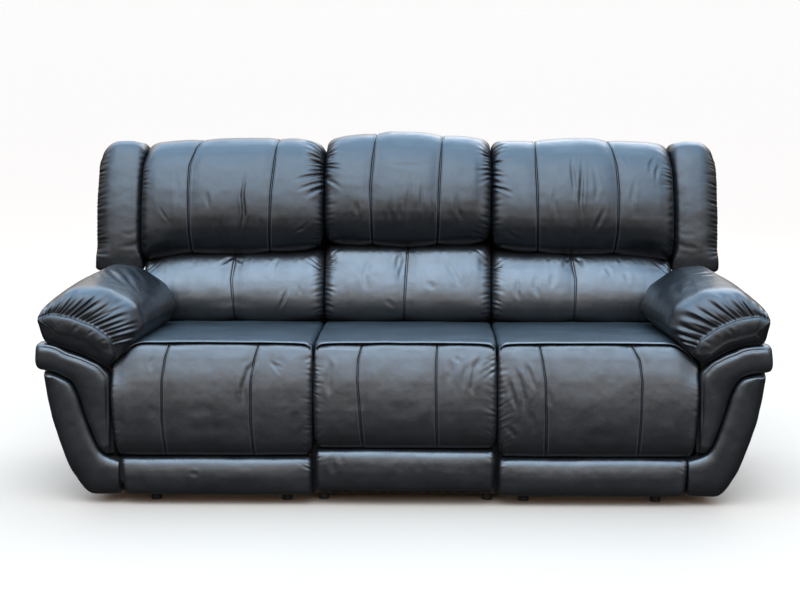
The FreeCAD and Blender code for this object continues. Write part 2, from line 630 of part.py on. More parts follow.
# ---------------------------------------------------------------- recliner seats
def recliner(s, L):
    xa, xb = "seat_split+seat_gap/2", "end_out"
    # base frame: steel tube ring on glides, risers and the two tracks
    parts = [
        box(s, "lay_track+2", "2*mech_mid-lay_track-2", 70, 95, 28, 53),
        box(s, "lay_track+2", "2*mech_mid-lay_track-2", 700, 725, 28, 53),
    ]
    for sd in ("in", "out"):
        parts.append(box(s, *mech(sd, "lay_track+2", "lay_track+27"), 95, 700, 28, 53))
        for f0 in (150, 470):
            parts.append(cut(box(s, *mech(sd, "lay_track", "lay_track+plate_t"), f0, f0 + 60, 53, 162),
                             [rod(s, *mech(sd, "lay_track-1", "lay_track+plate_t+1"), f0 + 30, 120, "bolt_r+0.2")]))
            if sd == "out":
                parts.append(cut(box(s, "2*mech_mid-lay_track", "arm_in", f0 + 5, f0 + 55, 95, 145),
                                 [rod(s, "2*mech_mid-lay_track-1", "arm_in+1", f0 + 30, 120, "bolt_r+0.2")]))
        outer = box(s, *mech(sd, "lay_track", "lay_track+14"), 120, 540, "track_z-18", "track_z+18")
        inner = box(s, *mech(sd, "lay_track+plate_t", "lay_track+15"), 110, 550, "track_z-15", "track_z+15")
        parts.append(cut(outer, [inner]))
    parts.append(box(s, "2*mech_mid-lay_track", 867, 290, 308, 171, 189))
    node(group(parts), L + "base_frame")

    # seat box and springs
    x0, x1 = "lay_plate+plate_t", "2*mech_mid-lay_plate-plate_t"
    node(group([
        box(s, x0, "%s+rail_t" % x0, 95, 595, "rail_z", "rail_top"),
        box(s, "%s-rail_t" % x1, x1, 95, 595, "rail_z", "rail_top"),
        box(s, "%s+rail_t" % x0, "%s-rail_t" % x1, 95, "95+rail_t", "rail_z", "rail_top"),
        box(s, "%s+rail_t" % x0, "%s-rail_t" % x1, "595-rail_t", 595, "rail_z", "rail_top"),
    ]), L + "seat_frame")
    node(springs([s * (D["mech_mid"] + k * 92) for k in (-2, -1, 0, 1, 2)]), L + "seat_springs")

    # side plates of the seat, with rollers, guide studs and the scissors' fixed pivots
    parts = []
    plate = [(95, 386), (600, 386), (650, 374), (664, 360), (664, 340), (650, 326), (612, 310), (505, 162), (180, 162), (140, 282), (95, 322)]
    for sd in ("in", "out"):
        parts.append(prism_x(s, *mech(sd, "lay_plate", "lay_plate+plate_t"), plate, [("back_f", "back_z", 6.06)]))
        for f in (210, 470):
            parts.append(rod(s, *mech(sd, "lay_track+12.5", "lay_plate"), f, "track_z", 4))
            parts.append(rod(s, *mech(sd, "lay_track+4.5", "lay_track+12.5"), f, "track_z", "roll_r"))
        parts.append(rod(s, *mech(sd, "lay_rear-1", "lay_plate"), "gx_f", "bar_z", 4))
        parts.append(rod(s, *mech(sd, "lay_ext-1", "lay_plate"), 400, "bar_z", 4))
    node(group(parts), L + "seat_side_plates")

    # seat cushion, cut away for the extension arms and under the arm pad
    c = prism_x(s, xa, xb, [(65, 410), (65, "crest_z"), (110, "crest_z"), (540, "seat_rear_z"), ("seat_rear_f", "seat_rear_z-6"), ("seat_rear_f", "seat_under_z"), (82, "seat_under_z")])
    pocket_y(c, s, 40, 640, [("end_out-47", "crest_z+1"), ("end_out+10", "crest_z+1"), ("end_out+10", "crest_z-56")])
    notch = [box(s, *mech(sd, "lay_ext-3", "lay_plate+6"), 60, 106, 385, 441) for sd in ("in", "out")]
    node(cut(c, notch), L + "seat_cushion")

    # extension arms, with the footrest's hinge pins
    bar = [(53, 419), (53, 429), (58, 433.5), (66, 433.5), (72, 429), (80, 410), (92, 384), (104, 371), (512, 371), (520, 355), (512, 339), (96, 339), (84, 345), (72, 368), (67.5, 400), (67.5, 412), (60, 414.5)]
    parts = []
    for sd in ("in", "out"):
        b = prism_x(s, *mech(sd, "lay_ext", "lay_ext+plate_t"), bar)
        tools = [box(s, *mech(sd, "lay_ext-1", "lay_ext+plate_t+1"), f0 - 4.5, f0 + 101, "bar_z-4.3", "bar_z+4.3") for f0 in (250, 400)]
        parts.append(cut(b, tools))
        parts.append(rod(s, *mech(sd, "lay_ext+plate_t", "lay_plate+plate_t+1"), "piv_f", "piv_z", 5))
        parts.append(rod(s, *mech(sd, "lay_front-1", "lay_ext"), "gx_f-2*link_df", "bar_z", 3.5))
    node(group(parts), L + "extension_arms")

    # scissor links: the rear one hangs on the seat's pivot, the front one on the rear one
    rear, front = [], []
    knee = ("gx_f-link_df", "bar_z-link_dz")
    tip = ("gx_f-2*link_df", "bar_z")
    for sd in ("in", "out"):
        rear.append(link(s, sd, "lay_rear", ("gx_f", "bar_z"), knee, 4.06, 0))
        rear.append(rod(s, *mech(sd, "lay_rear+plate_t", "lay_front+plate_t+1"), *knee, 3.5))
        front.append(link(s, sd, "lay_front", tip, knee, 6.6, 3.56))
    node(group(rear), L + "rear_links")
    node(group(front), L + "front_links")

    # footrest: board with two hinge brackets, front pad and lower band
    parts = [box(s, "%s+10" % xa, "%s-28" % xb, "pad_t", "pad_t+board_t", 50, 395)]
    for sd in ("in", "out"):
        ear = prism_x(s, *mech(sd, "lay_plate", "lay_plate+plate_t"), [(54, 396), (51.5, 424), (57, 433), (67, 433), (74, 424), (76, 396), (76, 320), ("pad_t+board_t", 320), ("pad_t+board_t", 396)], [("piv_f", "piv_z", 5.06)])
        foot = box(s, *mech(sd, "lay_plate+plate_t", "lay_plate+plate_t+24"), "pad_t+board_t", "pad_t+board_t+3", 322, 392)
        parts += [ear, foot]
    node(group(parts), L + "footrest_board")
    p = prism_x(s, xa, xb, [("0", "fr_split_z+3"), ("0", "piv_z"), ("piv_f", "crest_z"), ("piv_f", 410), ("pad_t", 398), ("pad_t", "fr_split_z+3")],
                arcs={1: ("piv_f", "piv_z", False)})
    pocket_y(p, s, -20, 80, [("end_out-47", "crest_z+1"), ("end_out+10", "crest_z+1"), ("end_out+10", "crest_z-56")])
    pocket_y(p, s, -20, 80, [("end_out-20", "fr_split_z+1"), ("end_out+5", "fr_split_z+1"), ("end_out+5", "fr_split_z+26")])
    notch = [box(s, *mech(sd, "lay_ext-3", "lay_plate+6"), "pad_t-1", "piv_f+2", 380, 438) for sd in ("in", "out")]
    node(cut(p, notch), L + "footrest_pad")
    node(prism_x(s, "%s+4" % xa, "%s-30" % xb, [(8, "fr_low_z"), (2, "fr_low_z+12"), (2, "fr_split_z-15"), (8, "fr_split_z"), ("pad_t", "fr_split_z"), ("pad_t", "fr_low_z")]), L + "footrest_lower_pad")


def link(s, sd, layer, a, b, hole_a, hole_b):
    """A flat link from a to b, both in f and z, with a hole at each end that has a radius."""
    fa, za, fb, zb = val(a[0]), val(a[1]), val(b[0]), val(b[1])
    length = math.hypot(fb - fa, zb - za)
    u, w = (fb - fa) / length, (zb - za) / length
    ra, rb = 11.0, 8.0
    pts = []
    for px, pz, r, back_end in ((a[0], a[1], ra, True), (b[0], b[1], rb, False)):
        for k in (-90, -45, 0, 45, 90):
            t = math.radians(k)
            # half a turn round the end, away from the other end
            dx, dz = (-u, -w) if back_end else (u, w)
            ox, oz = dx * math.cos(t) - dz * math.sin(t), dx * math.sin(t) + dz * math.cos(t)
            pts.append(("%s+(%.4f)" % (px, ox * r), "%s+(%.4f)" % (pz, oz * r)))
    low, length = span(s, *mech(sd, layer, "%s+plate_t" % layer))
    body = new_body()
    holes = [(fy(p[0]), p[1], r) for p, r in ((a, hole_a), (b, hole_b)) if r]
    pad(body, "YZ", low, [[(fy(f), z) for f, z in pts]], length, holes)
    return body


# ---------------------------------------------------------------- centre seat
def centre():
    xi = "seat_split-6"
    board = [(66.5, 26), (595, 26), (595, 386), (66.5, 386)]
    heel = [(595, 26), (728, 26), (728, 150), (595, 172)]
    parts = []
    for s in (1, -1):
        parts.append(prism_x(s, xi, "%s+ply" % xi, board, [(180, 120, "bolt_r+0.2"), (500, 120, "bolt_r+0.2")]))
        parts.append(prism_x(s, xi, "%s+ply" % xi, heel))
    wide = ("-(%s)" % xi, xi)
    parts.append(box(0, "-(seat_split-5)", "seat_split-5", "pad_t+1", 66, 28, 392))
    parts.append(box(0, *wide, 95, "95+rail_t", "rail_z", "rail_top"))
    parts.append(box(0, *wide, "595-rail_t", 595, "rail_z", "rail_top"))
    parts.append(box(0, *wide, 76, 112, 26, 62))
    parts.append(box(0, *wide, 680, 716, 26, 62))
    node(group(parts), "centre_base")
    node(springs([k * 104 for k in (-2, -1, 0, 1, 2)]), "centre_seat_springs")
    ya, yb = "-(seat_split-seat_gap/2)", "seat_split-seat_gap/2"
    seat = prism_x(0, ya, yb, [(63, 410), (63, "crest_z"), (110, "crest_z"), (540, "seat_rear_z"), ("seat_rear_f", "seat_rear_z-6"), ("seat_rear_f", "seat_under_z"), (82, "seat_under_z")])
    fall = prism_x(0, ya, yb, [("0", "ct_split_z+3"), ("0", "piv_z"), ("piv_f", "crest_z"), ("piv_f", 410), ("pad_t", 398), ("pad_t", "ct_split_z+3")],
                   arcs={1: ("piv_f", "piv_z", False)})
    node(group([seat, fall]), "centre_seat_cushion")
    node(prism_x(0, "%s+4" % ya, "%s-4" % yb, [(8, "ct_low_z"), (2, "ct_low_z+12"), (2, "ct_split_z-15"), (8, "ct_split_z"), ("pad_t", "ct_split_z"), ("pad_t", "ct_low_z")]), "centre_lower_pad")
    back(0, "centre_", ya, yb, "split_c", "top_c")


# ---------------------------------------------------------------- the whole
for s, L in ((-1, "left_"), (1, "right_")):
    arm(s, L)
    recliner(s, L)
    back(s, L, "seat_split+seat_gap/2", "back_out", "split_e", "top_e")
centre()

feet = []
for s in (-1, 1):
    for x in (356, 752):
        for f in (82.5, 712.5):
            feet.append(peg("%d" % (s * x), f, 0, 28, "foot_r"))
    for f in (94, 698):
        feet.append(peg("%d" % (s * 246), f, 0, 26, "foot_r"))
node(group(feet), "feet")

bolts = []
for s in (-1, 1):
    for f in (180, 500):
        # base frame to arm box, and base frame to partition
        bolts.append(rod(s, "2*mech_mid-lay_track-plate_t", "arm_in+15", f, 120, "bolt_r"))
        bolts.append(rod(s, "2*mech_mid-lay_track-plate_t-5", "2*mech_mid-lay_track-plate_t", f, 120, 6.5))
        bolts.append(rod(s, "arm_in+15", "arm_in+21", f, 120, 6.5))
        bolts.append(rod(s, "seat_split-6", "lay_track+plate_t", f, 120, "bolt_r"))
        bolts.append(rod(s, "lay_track+plate_t", "lay_track+plate_t+5", f, 120, 6.5))
        bolts.append(rod(s, "seat_split-12", "seat_split-6", f, 120, 6.5))
node(group(bolts), "bolts")

doc.recompute()
bad = [o.Label for o in doc.Objects if "Invalid" in o.State or "Error" in o.State]
if bad:
    raise RuntimeError("failed objects: %s" % bad)
seen = set()
for label, o in NODES:
    if label in seen or o.Label != label:
        raise RuntimeError("label used twice: %s / %s" % (label, o.Label))
    seen.add(label)
    if o.Shape.isNull() or not o.Shape.isValid() or not o.Shape.Solids:
        raise RuntimeError("bad shape: " + label)
if len(NODES) > 60:
    raise RuntimeError("%d nodes" % len(NODES))
os.makedirs("parts", exist_ok=True)
whole = FreeCAD.BoundBox()
for label, o in NODES:
    o.Shape.exportStep("parts/%s.step" % label)
    whole.add(o.Shape.BoundBox)
print("%d nodes, box %.1f %.1f %.1f to %.1f %.1f %.1f" % (len(NODES), whole.XMin, whole.YMin, whole.ZMin, whole.XMax, whole.YMax, whole.ZMax))
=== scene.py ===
"""Looks of a three-seat leather reclining sofa: upholstery, stitching, finishes, light and camera.

Lengths in the helpers are millimetres: x across, f the distance behind the foremost face, z up.
A back leans 12 degrees; its own axes are w, across its thickness, and v, up along it.
"""

import math

import bmesh
import bpy
import numpy as np
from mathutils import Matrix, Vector

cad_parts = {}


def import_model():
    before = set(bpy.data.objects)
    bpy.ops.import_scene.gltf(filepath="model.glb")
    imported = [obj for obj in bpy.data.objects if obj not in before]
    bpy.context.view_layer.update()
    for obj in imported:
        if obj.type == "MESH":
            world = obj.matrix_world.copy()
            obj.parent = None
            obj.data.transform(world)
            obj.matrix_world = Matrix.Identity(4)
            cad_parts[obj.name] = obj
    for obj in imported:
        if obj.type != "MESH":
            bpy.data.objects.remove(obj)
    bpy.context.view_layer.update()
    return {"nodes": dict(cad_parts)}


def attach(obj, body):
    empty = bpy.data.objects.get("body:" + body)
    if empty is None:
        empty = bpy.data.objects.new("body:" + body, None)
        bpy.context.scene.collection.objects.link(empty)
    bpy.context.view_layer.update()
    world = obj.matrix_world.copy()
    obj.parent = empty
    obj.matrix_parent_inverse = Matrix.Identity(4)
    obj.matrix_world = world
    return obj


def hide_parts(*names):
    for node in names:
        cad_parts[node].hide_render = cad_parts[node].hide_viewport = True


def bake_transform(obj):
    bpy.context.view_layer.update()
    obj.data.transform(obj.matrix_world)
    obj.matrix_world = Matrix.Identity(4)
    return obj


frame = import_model()

HALF_D = 471.07
LEAN = math.radians(12)


# ------------------------------------------------------------------ small maths
def sstep(a, b, x):
    t = np.clip((np.asarray(x, float) - a) / (b - a), 0, 1)
    return t * t * (3 - 2 * t)


def bell(d, width):
    return np.exp(-((d / width) ** 2))


def hash2(i, j, seed):
    n = (i.astype(np.int64) * 73856093) ^ (j.astype(np.int64) * 19349663) ^ np.int64(seed * 83492791 + 11)
    n = ((n ^ (n >> 13)) * 1274126177) & 0x7FFFFFFF
    n = (n ^ (n >> 15)) & 0x7FFFFFFF
    return n / float(0x7FFFFFFF) * 2 - 1


def noise2(x, y, seed=0):
    """Smooth value noise, about -1 to 1."""
    x, y = np.broadcast_arrays(np.asarray(x, float), np.asarray(y, float))
    i, j = np.floor(x).astype(np.int64), np.floor(y).astype(np.int64)
    a, b = x - i, y - j
    a, b = a * a * a * (a * (a * 6 - 15) + 10), b * b * b * (b * (b * 6 - 15) + 10)
    lo = hash2(i, j, seed) * (1 - a) + hash2(i + 1, j, seed) * a
    hi = hash2(i, j + 1, seed) * (1 - a) + hash2(i + 1, j + 1, seed) * a
    return lo * (1 - b) + hi * b


def fbm(x, y, seed=0, octaves=3):
    total, amp = 0, 1.0
    for k in range(octaves):
        total = total + amp * noise2(x * 2**k, y * 2**k, seed + 17 * k)
        amp *= 0.5
    return total / 1.75


def dense(polys, step=2.0):
    """Closed polygons with the same corners, as point rows about one step apart."""
    polys = [np.array(p, float) for p in polys]
    m = len(polys[0])
    counts = [max(1, int(round(max(np.linalg.norm(p[(i + 1) % m] - p[i]) for p in polys) / step))) for i in range(m)]
    rows = []
    for p in polys:
        rows.append(np.concatenate([p[i] + (p[(i + 1) % m] - p[i]) * (np.arange(n) / n)[:, None] for i, n in enumerate(counts)]))
    return np.array(rows)


def soften(loop, sigma, step=2.0):
    """Rounds a closed row of points, sigma in millimetres."""
    n = loop.shape[-2]
    g = np.exp(-2 * (np.pi * np.fft.fftfreq(n) * sigma / step) ** 2)
    return np.fft.ifft(np.fft.fft(loop, axis=-2) * g[:, None], axis=-2).real


def pick(loop, gap):
    """Indices along a dense loop, gap(point) apart."""
    keep, run = [0], 0.0
    for i in range(1, len(loop)):
        run += np.linalg.norm(loop[i] - loop[i - 1])
        if run >= gap(loop[i]):
            keep.append(i)
            run = 0.0
    if run < 0.6 * gap(loop[-1]) and len(keep) > 8:
        keep.pop()
    return np.array(keep)


def nearest(points, line):
    """For each point, the nearest point on a polyline."""
    best, out = np.full(len(points), 1e18), np.zeros_like(points)
    for a, b in zip(line[:-1], line[1:]):
        a, b = np.array(a, float), np.array(b, float)
        t = np.clip(((points - a) @ (b - a)) / max((b - a) @ (b - a), 1e-9), 0, 1)
        q = a + t[:, None] * (b - a)
        d = ((points - q) ** 2).sum(1)
        m = d < best
        best[m], out[m] = d[m], q[m]
    return out


def curve(points, n):
    """n points on a smooth line through the given ones, evenly spaced by corner number."""
    p = np.array(points, float)
    t = np.linspace(0, len(p) - 1, n)
    i = np.clip(t.astype(int), 0, len(p) - 2)
    f = (t - i)[:, None]
    p0, p1, p2, p3 = p[np.clip(i - 1, 0, None)], p[i], p[i + 1], p[np.clip(i + 2, None, len(p) - 1)]
    return 0.5 * (2 * p1 + (p2 - p0) * f + (2 * p0 - 5 * p1 + 4 * p2 - p3) * f**2 + (3 * p1 - p0 - 3 * p2 + p3) * f**3)


def world(p):
    """x, f, z in millimetres to the frame in metres."""
    q = np.array(p, float) / 1000
    q[..., 1] -= HALF_D / 1000
    return q


def leaned(x, w, v):
    return np.stack([x, 640 + w * math.cos(LEAN) + v * math.sin(LEAN), 350 - w * math.sin(LEAN) + v * math.cos(LEAN)], -1)


def upright(x, f, z):
    return np.stack([x, f, z], -1)


# ------------------------------------------------------------------ materials
def new_material(name):
    m = bpy.data.materials.new(name)
    m.use_nodes = True
    nt = m.node_tree
    nt.nodes.clear()
    out = nt.nodes.new("ShaderNodeOutputMaterial")
    bsdf = nt.nodes.new("ShaderNodeBsdfPrincipled")
    nt.links.new(bsdf.outputs[0], out.inputs[0])
    return m, nt, bsdf


def add(nt, kind, **values):
    n = nt.nodes.new(kind)
    for k, v in values.items():
        if k.startswith("_"):
            n.inputs[int(k[1:])].default_value = v
        else:
            setattr(n, k, v)
    return n


def ramp(nt, source, stops):
    r = nt.nodes.new("ShaderNodeValToRGB")
    e = r.color_ramp.elements
    while len(e) < len(stops):
        e.new(0.5)
    for x, (pos, col) in zip(e, stops):
        x.position = pos
        x.color = col if len(col) == 4 else (*col, 1)
    nt.links.new(source, r.inputs[0])
    return r


def remap(nt, source, a, b, c, d):
    n = nt.nodes.new("ShaderNodeMapRange")
    for k, v in zip((1, 2, 3, 4), (a, b, c, d)):
        n.inputs[k].default_value = v
    nt.links.new(source, n.inputs[0])
    return n


def scaled_noise(nt, scale, detail=2.0, rough=0.5, stretch=None):
    c = nt.nodes.new("ShaderNodeTexCoord")
    src = c.outputs["Object"]
    if stretch:
        mp = nt.nodes.new("ShaderNodeMapping")
        mp.inputs["Scale"].default_value = stretch
        nt.links.new(src, mp.inputs[0])
        src = mp.outputs[0]
    n = nt.nodes.new("ShaderNodeTexNoise")
    n.inputs["Scale"].default_value = scale
    n.inputs["Detail"].default_value = detail
    n.inputs["Roughness"].default_value = rough
    nt.links.new(src, n.inputs["Vector"])
    return n


def leather(name, tone, rough, spec=0.5, grain=0.16, worn=0.0, coat=0.0):
    """Grained leather: pebbled cells with fine creases between them, painted shade darkening those creases, a mottled
    dye and uneven polish.
    """
    m, nt, b = new_material(name)
    L = nt.links
    coord = nt.nodes.new("ShaderNodeTexCoord")
    warp = scaled_noise(nt, 55, 2)
    mixv = add(nt, "ShaderNodeMix", data_type="VECTOR")
    mixv.inputs[0].default_value = 0.012
    L.new(coord.outputs["Object"], mixv.inputs[4])
    L.new(warp.outputs["Color"], mixv.inputs[5])
    cells = nt.nodes.new("ShaderNodeTexVoronoi")
    cells.feature = "F1"
    cells.inputs["Scale"].default_value = 620
    L.new(mixv.outputs[1], cells.inputs["Vector"])
    edges = nt.nodes.new("ShaderNodeTexVoronoi")
    edges.feature = "DISTANCE_TO_EDGE"
    edges.inputs["Scale"].default_value = 300
    L.new(mixv.outputs[1], edges.inputs["Vector"])
    pore = remap(nt, edges.outputs["Distance"], 0, 0.12, 0, 1)
    height = add(nt, "ShaderNodeMath", operation="MULTIPLY_ADD")
    L.new(pore.outputs[0], height.inputs[0])
    height.inputs[1].default_value = 0.7
    inv = add(nt, "ShaderNodeMath", operation="MULTIPLY")
    L.new(cells.outputs["Distance"], inv.inputs[0])
    inv.inputs[1].default_value = -0.35
    L.new(inv.outputs[0], height.inputs[2])
    bump = nt.nodes.new("ShaderNodeBump")
    bump.inputs["Strength"].default_value = 0.55
    bump.inputs["Distance"].default_value = grain / 1000
    L.new(height.outputs[0], bump.inputs["Height"])
    # slow waviness that bends the reflections a little
    slow = scaled_noise(nt, 16, 3, 0.55)
    bump2 = nt.nodes.new("ShaderNodeBump")
    bump2.inputs["Strength"].default_value = 0.30
    bump2.inputs["Distance"].default_value = 0.004
    L.new(slow.outputs[0], bump2.inputs["Height"])
    L.new(bump.outputs[0], bump2.inputs["Normal"])
    L.new(bump2.outputs[0], b.inputs["Normal"])
    # dye, and painted shade in the grain creases
    dye = scaled_noise(nt, 7, 4, 0.6)
    r = ramp(nt, dye.outputs[0], [(0.30, tuple(0.72 * c for c in tone)), (0.55, tone), (0.78, tuple(1.35 * c + 0.002 for c in tone))])
    # painted shade: the base colour is darkened to 0.45 along the grain's crease lines
    creases = ramp(nt, pore.outputs[0], [(0.0, (0.45, 0.45, 0.45)), (0.6, (1, 1, 1))])
    mul = add(nt, "ShaderNodeMix", data_type="RGBA", blend_type="MULTIPLY")
    mul.inputs[0].default_value = 1.0
    L.new(r.outputs[0], mul.inputs[6])
    L.new(creases.outputs[0], mul.inputs[7])
    colour = mul.outputs[2]
    if worn:
        # rubbed, dusty patches
        rub = scaled_noise(nt, 9, 5, 0.65, stretch=(0.55, 1.4, 1.0))
        mask = ramp(nt, rub.outputs[0], [(0.48, (0, 0, 0)), (0.74, (1, 1, 1))])
        wear = add(nt, "ShaderNodeMix", data_type="RGBA", blend_type="MIX")
        fac = add(nt, "ShaderNodeMath", operation="MULTIPLY")
        L.new(mask.outputs[0], fac.inputs[0])
        fac.inputs[1].default_value = worn
        L.new(fac.outputs[0], wear.inputs[0])
        L.new(colour, wear.inputs[6])
        wear.inputs[7].default_value = (0.042, 0.054, 0.062, 1)
        colour = wear.outputs[2]
    L.new(colour, b.inputs["Base Color"])
    polish = scaled_noise(nt, 22, 4, 0.6)
    rr = remap(nt, polish.outputs[0], 0.3, 0.7, rough - 0.045, rough + 0.055)
    L.new(rr.outputs[0], b.inputs["Roughness"])
    b.inputs["IOR"].default_value = 1.5
    b.inputs["Specular IOR Level"].default_value = spec
    if coat:
        b.inputs["Coat Weight"].default_value = coat
        b.inputs["Coat Roughness"].default_value = 0.30
    return m


def metal(name, tone, rough, metallic, scratch=0.05, tint=None, bump_mm=0.05):
    m, nt, b = new_material(name)
    n = scaled_noise(nt, 60, 5, 0.6)
    tint = tint or tuple(min(1, 1.4 * c + 0.01) for c in tone)
    r = ramp(nt, n.outputs[0], [(0.3, tuple(0.75 * c for c in tone)), (0.55, tone), (0.8, tint)])
    nt.links.new(r.outputs[0], b.inputs["Base Color"])
    streak = scaled_noise(nt, 240, 3, 0.5, stretch=(1, 0.06, 1))
    rr = remap(nt, streak.outputs[0], 0.3, 0.7, rough - scratch, rough + scratch)
    nt.links.new(rr.outputs[0], b.inputs["Roughness"])
    bump = nt.nodes.new("ShaderNodeBump")
    bump.inputs["Strength"].default_value = 0.4
    bump.inputs["Distance"].default_value = bump_mm / 1000
    nt.links.new(streak.outputs[0], bump.inputs["Height"])
    nt.links.new(bump.outputs[0], b.inputs["Normal"])
    b.inputs["Metallic"].default_value = metallic
    return m


def timber(name):
    m, nt, b = new_material(name)
    c = nt.nodes.new("ShaderNodeTexCoord")
    mp = nt.nodes.new("ShaderNodeMapping")
    mp.inputs["Scale"].default_value = (1.0, 9.0, 1.6)
    nt.links.new(c.outputs["Object"], mp.inputs[0])
    w = nt.nodes.new("ShaderNodeTexWave")
    w.inputs["Scale"].default_value = 9
    w.inputs["Distortion"].default_value = 7
    w.inputs["Detail"].default_value = 4
    nt.links.new(mp.outputs[0], w.inputs["Vector"])
    n = scaled_noise(nt, 90, 4, 0.6, stretch=(0.15, 1, 1))
    r = ramp(nt, w.outputs[0], [(0.1, (0.010, 0.009, 0.008)), (0.6, (0.016, 0.014, 0.012)), (0.95, (0.026, 0.022, 0.018))])
    nt.links.new(r.outputs[0], b.inputs["Base Color"])
    rr = remap(nt, n.outputs[0], 0.3, 0.7, 0.6, 0.8)
    nt.links.new(rr.outputs[0], b.inputs["Roughness"])
    bump = nt.nodes.new("ShaderNodeBump")
    bump.inputs["Strength"].default_value = 0.5
    bump.inputs["Distance"].default_value = 0.0003
    nt.links.new(n.outputs[0], bump.inputs["Height"])
    nt.links.new(bump.outputs[0], b.inputs["Normal"])
    return m


def plastic(name, tone, rough):
    m, nt, b = new_material(name)
    n = scaled_noise(nt, 900, 2, 0.5)
    bump = nt.nodes.new("ShaderNodeBump")
    bump.inputs["Strength"].default_value = 0.35
    bump.inputs["Distance"].default_value = 0.00012
    nt.links.new(n.outputs[0], bump.inputs["Height"])
    nt.links.new(bump.outputs[0], b.inputs["Normal"])
    d = scaled_noise(nt, 14, 3, 0.5)
    r = ramp(nt, d.outputs[0], [(0.3, tuple(0.8 * c for c in tone)), (0.7, tuple(1.25 * c for c in tone))])
    nt.links.new(r.outputs[0], b.inputs["Base Color"])
    rr = remap(nt, d.outputs[0], 0.3, 0.7, rough - 0.05, rough + 0.06)
    nt.links.new(rr.outputs[0], b.inputs["Roughness"])
    return m


def thread_material(name, tone):
    m, nt, b = new_material(name)
    n = scaled_noise(nt, 1500, 2, 0.6)
    r = ramp(nt, n.outputs[0], [(0.3, tuple(0.7 * c for c in tone)), (0.7, tuple(1.2 * c for c in tone))])
    nt.links.new(r.outputs[0], b.inputs["Base Color"])
    bump = nt.nodes.new("ShaderNodeBump")
    bump.inputs["Strength"].default_value = 0.6
    bump.inputs["Distance"].default_value = 0.0001
    nt.links.new(n.outputs[0], bump.inputs["Height"])
    nt.links.new(bump.outputs[0], b.inputs["Normal"])
    b.inputs["Roughness"].default_value = 0.55
    return m


M_LEATHER = leather("leather_black", (0.0046, 0.0052, 0.0060), 0.34, spec=0.55)
M_SEAT = leather("leather_seat", (0.0075, 0.0115, 0.0140), 0.50, spec=0.42, worn=0.30)
M_SIDE = leather("leather_side", (0.0050, 0.0056, 0.0063), 0.38, spec=0.5)
M_PAD = leather("leather_front", (0.0080, 0.0084, 0.0090), 0.37, spec=1.0)
# grey thread; its lighter tone is partly a painted highlight on the raised stitches
M_THREAD = thread_material("thread_grey_and_highlight", (0.060, 0.070, 0.080))
M_BLACK = metal("painted_black", (0.018, 0.018, 0.019), 0.42, 0.0)
M_ZINC = metal("zinc_plate", (0.52, 0.53, 0.55), 0.34, 1.0)
M_SPRING = metal("spring_wire", (0.30, 0.30, 0.31), 0.38, 1.0)
M_WOOD = timber("timber")
M_PLASTIC = plastic("black_plastic", (0.016, 0.016, 0.017), 0.45)
M_FOOT = plastic("foot_plastic", (0.012, 0.012, 0.012), 0.55)
M_SHEATH = plastic("cable_sheath", (0.02, 0.02, 0.021), 0.4)


# ------------------------------------------------------------------ meshes
def make_mesh(name, verts, faces, material, smooth=True):
    """faces is an array of quads, or a list of arrays of equal-sided faces."""
    me = bpy.data.meshes.new(name)
    groups = faces if isinstance(faces, list) else [faces]
    groups = [np.asarray(g, np.int32) for g in groups if len(g)]
    loops = np.concatenate([g.ravel() for g in groups])
    totals = np.concatenate([np.full(len(g), g.shape[1], np.int32) for g in groups])
    starts = np.concatenate([[0], np.cumsum(totals)[:-1]]).astype(np.int32)
    me.vertices.add(len(verts))
    me.vertices.foreach_set("co", np.asarray(verts, np.float32).ravel())
    me.loops.add(len(loops))
    me.loops.foreach_set("vertex_index", loops)
    me.polygons.add(len(totals))
    me.polygons.foreach_set("loop_start", starts)
    me.polygons.foreach_set("loop_total", totals)
    me.update(calc_edges=True)
    me.validate()
    me.polygons.foreach_set("use_smooth", np.full(len(me.polygons), smooth))
    ob = bpy.data.objects.new(name, me)
    bpy.context.scene.collection.objects.link(ob)
    me.materials.append(material)
    return ob


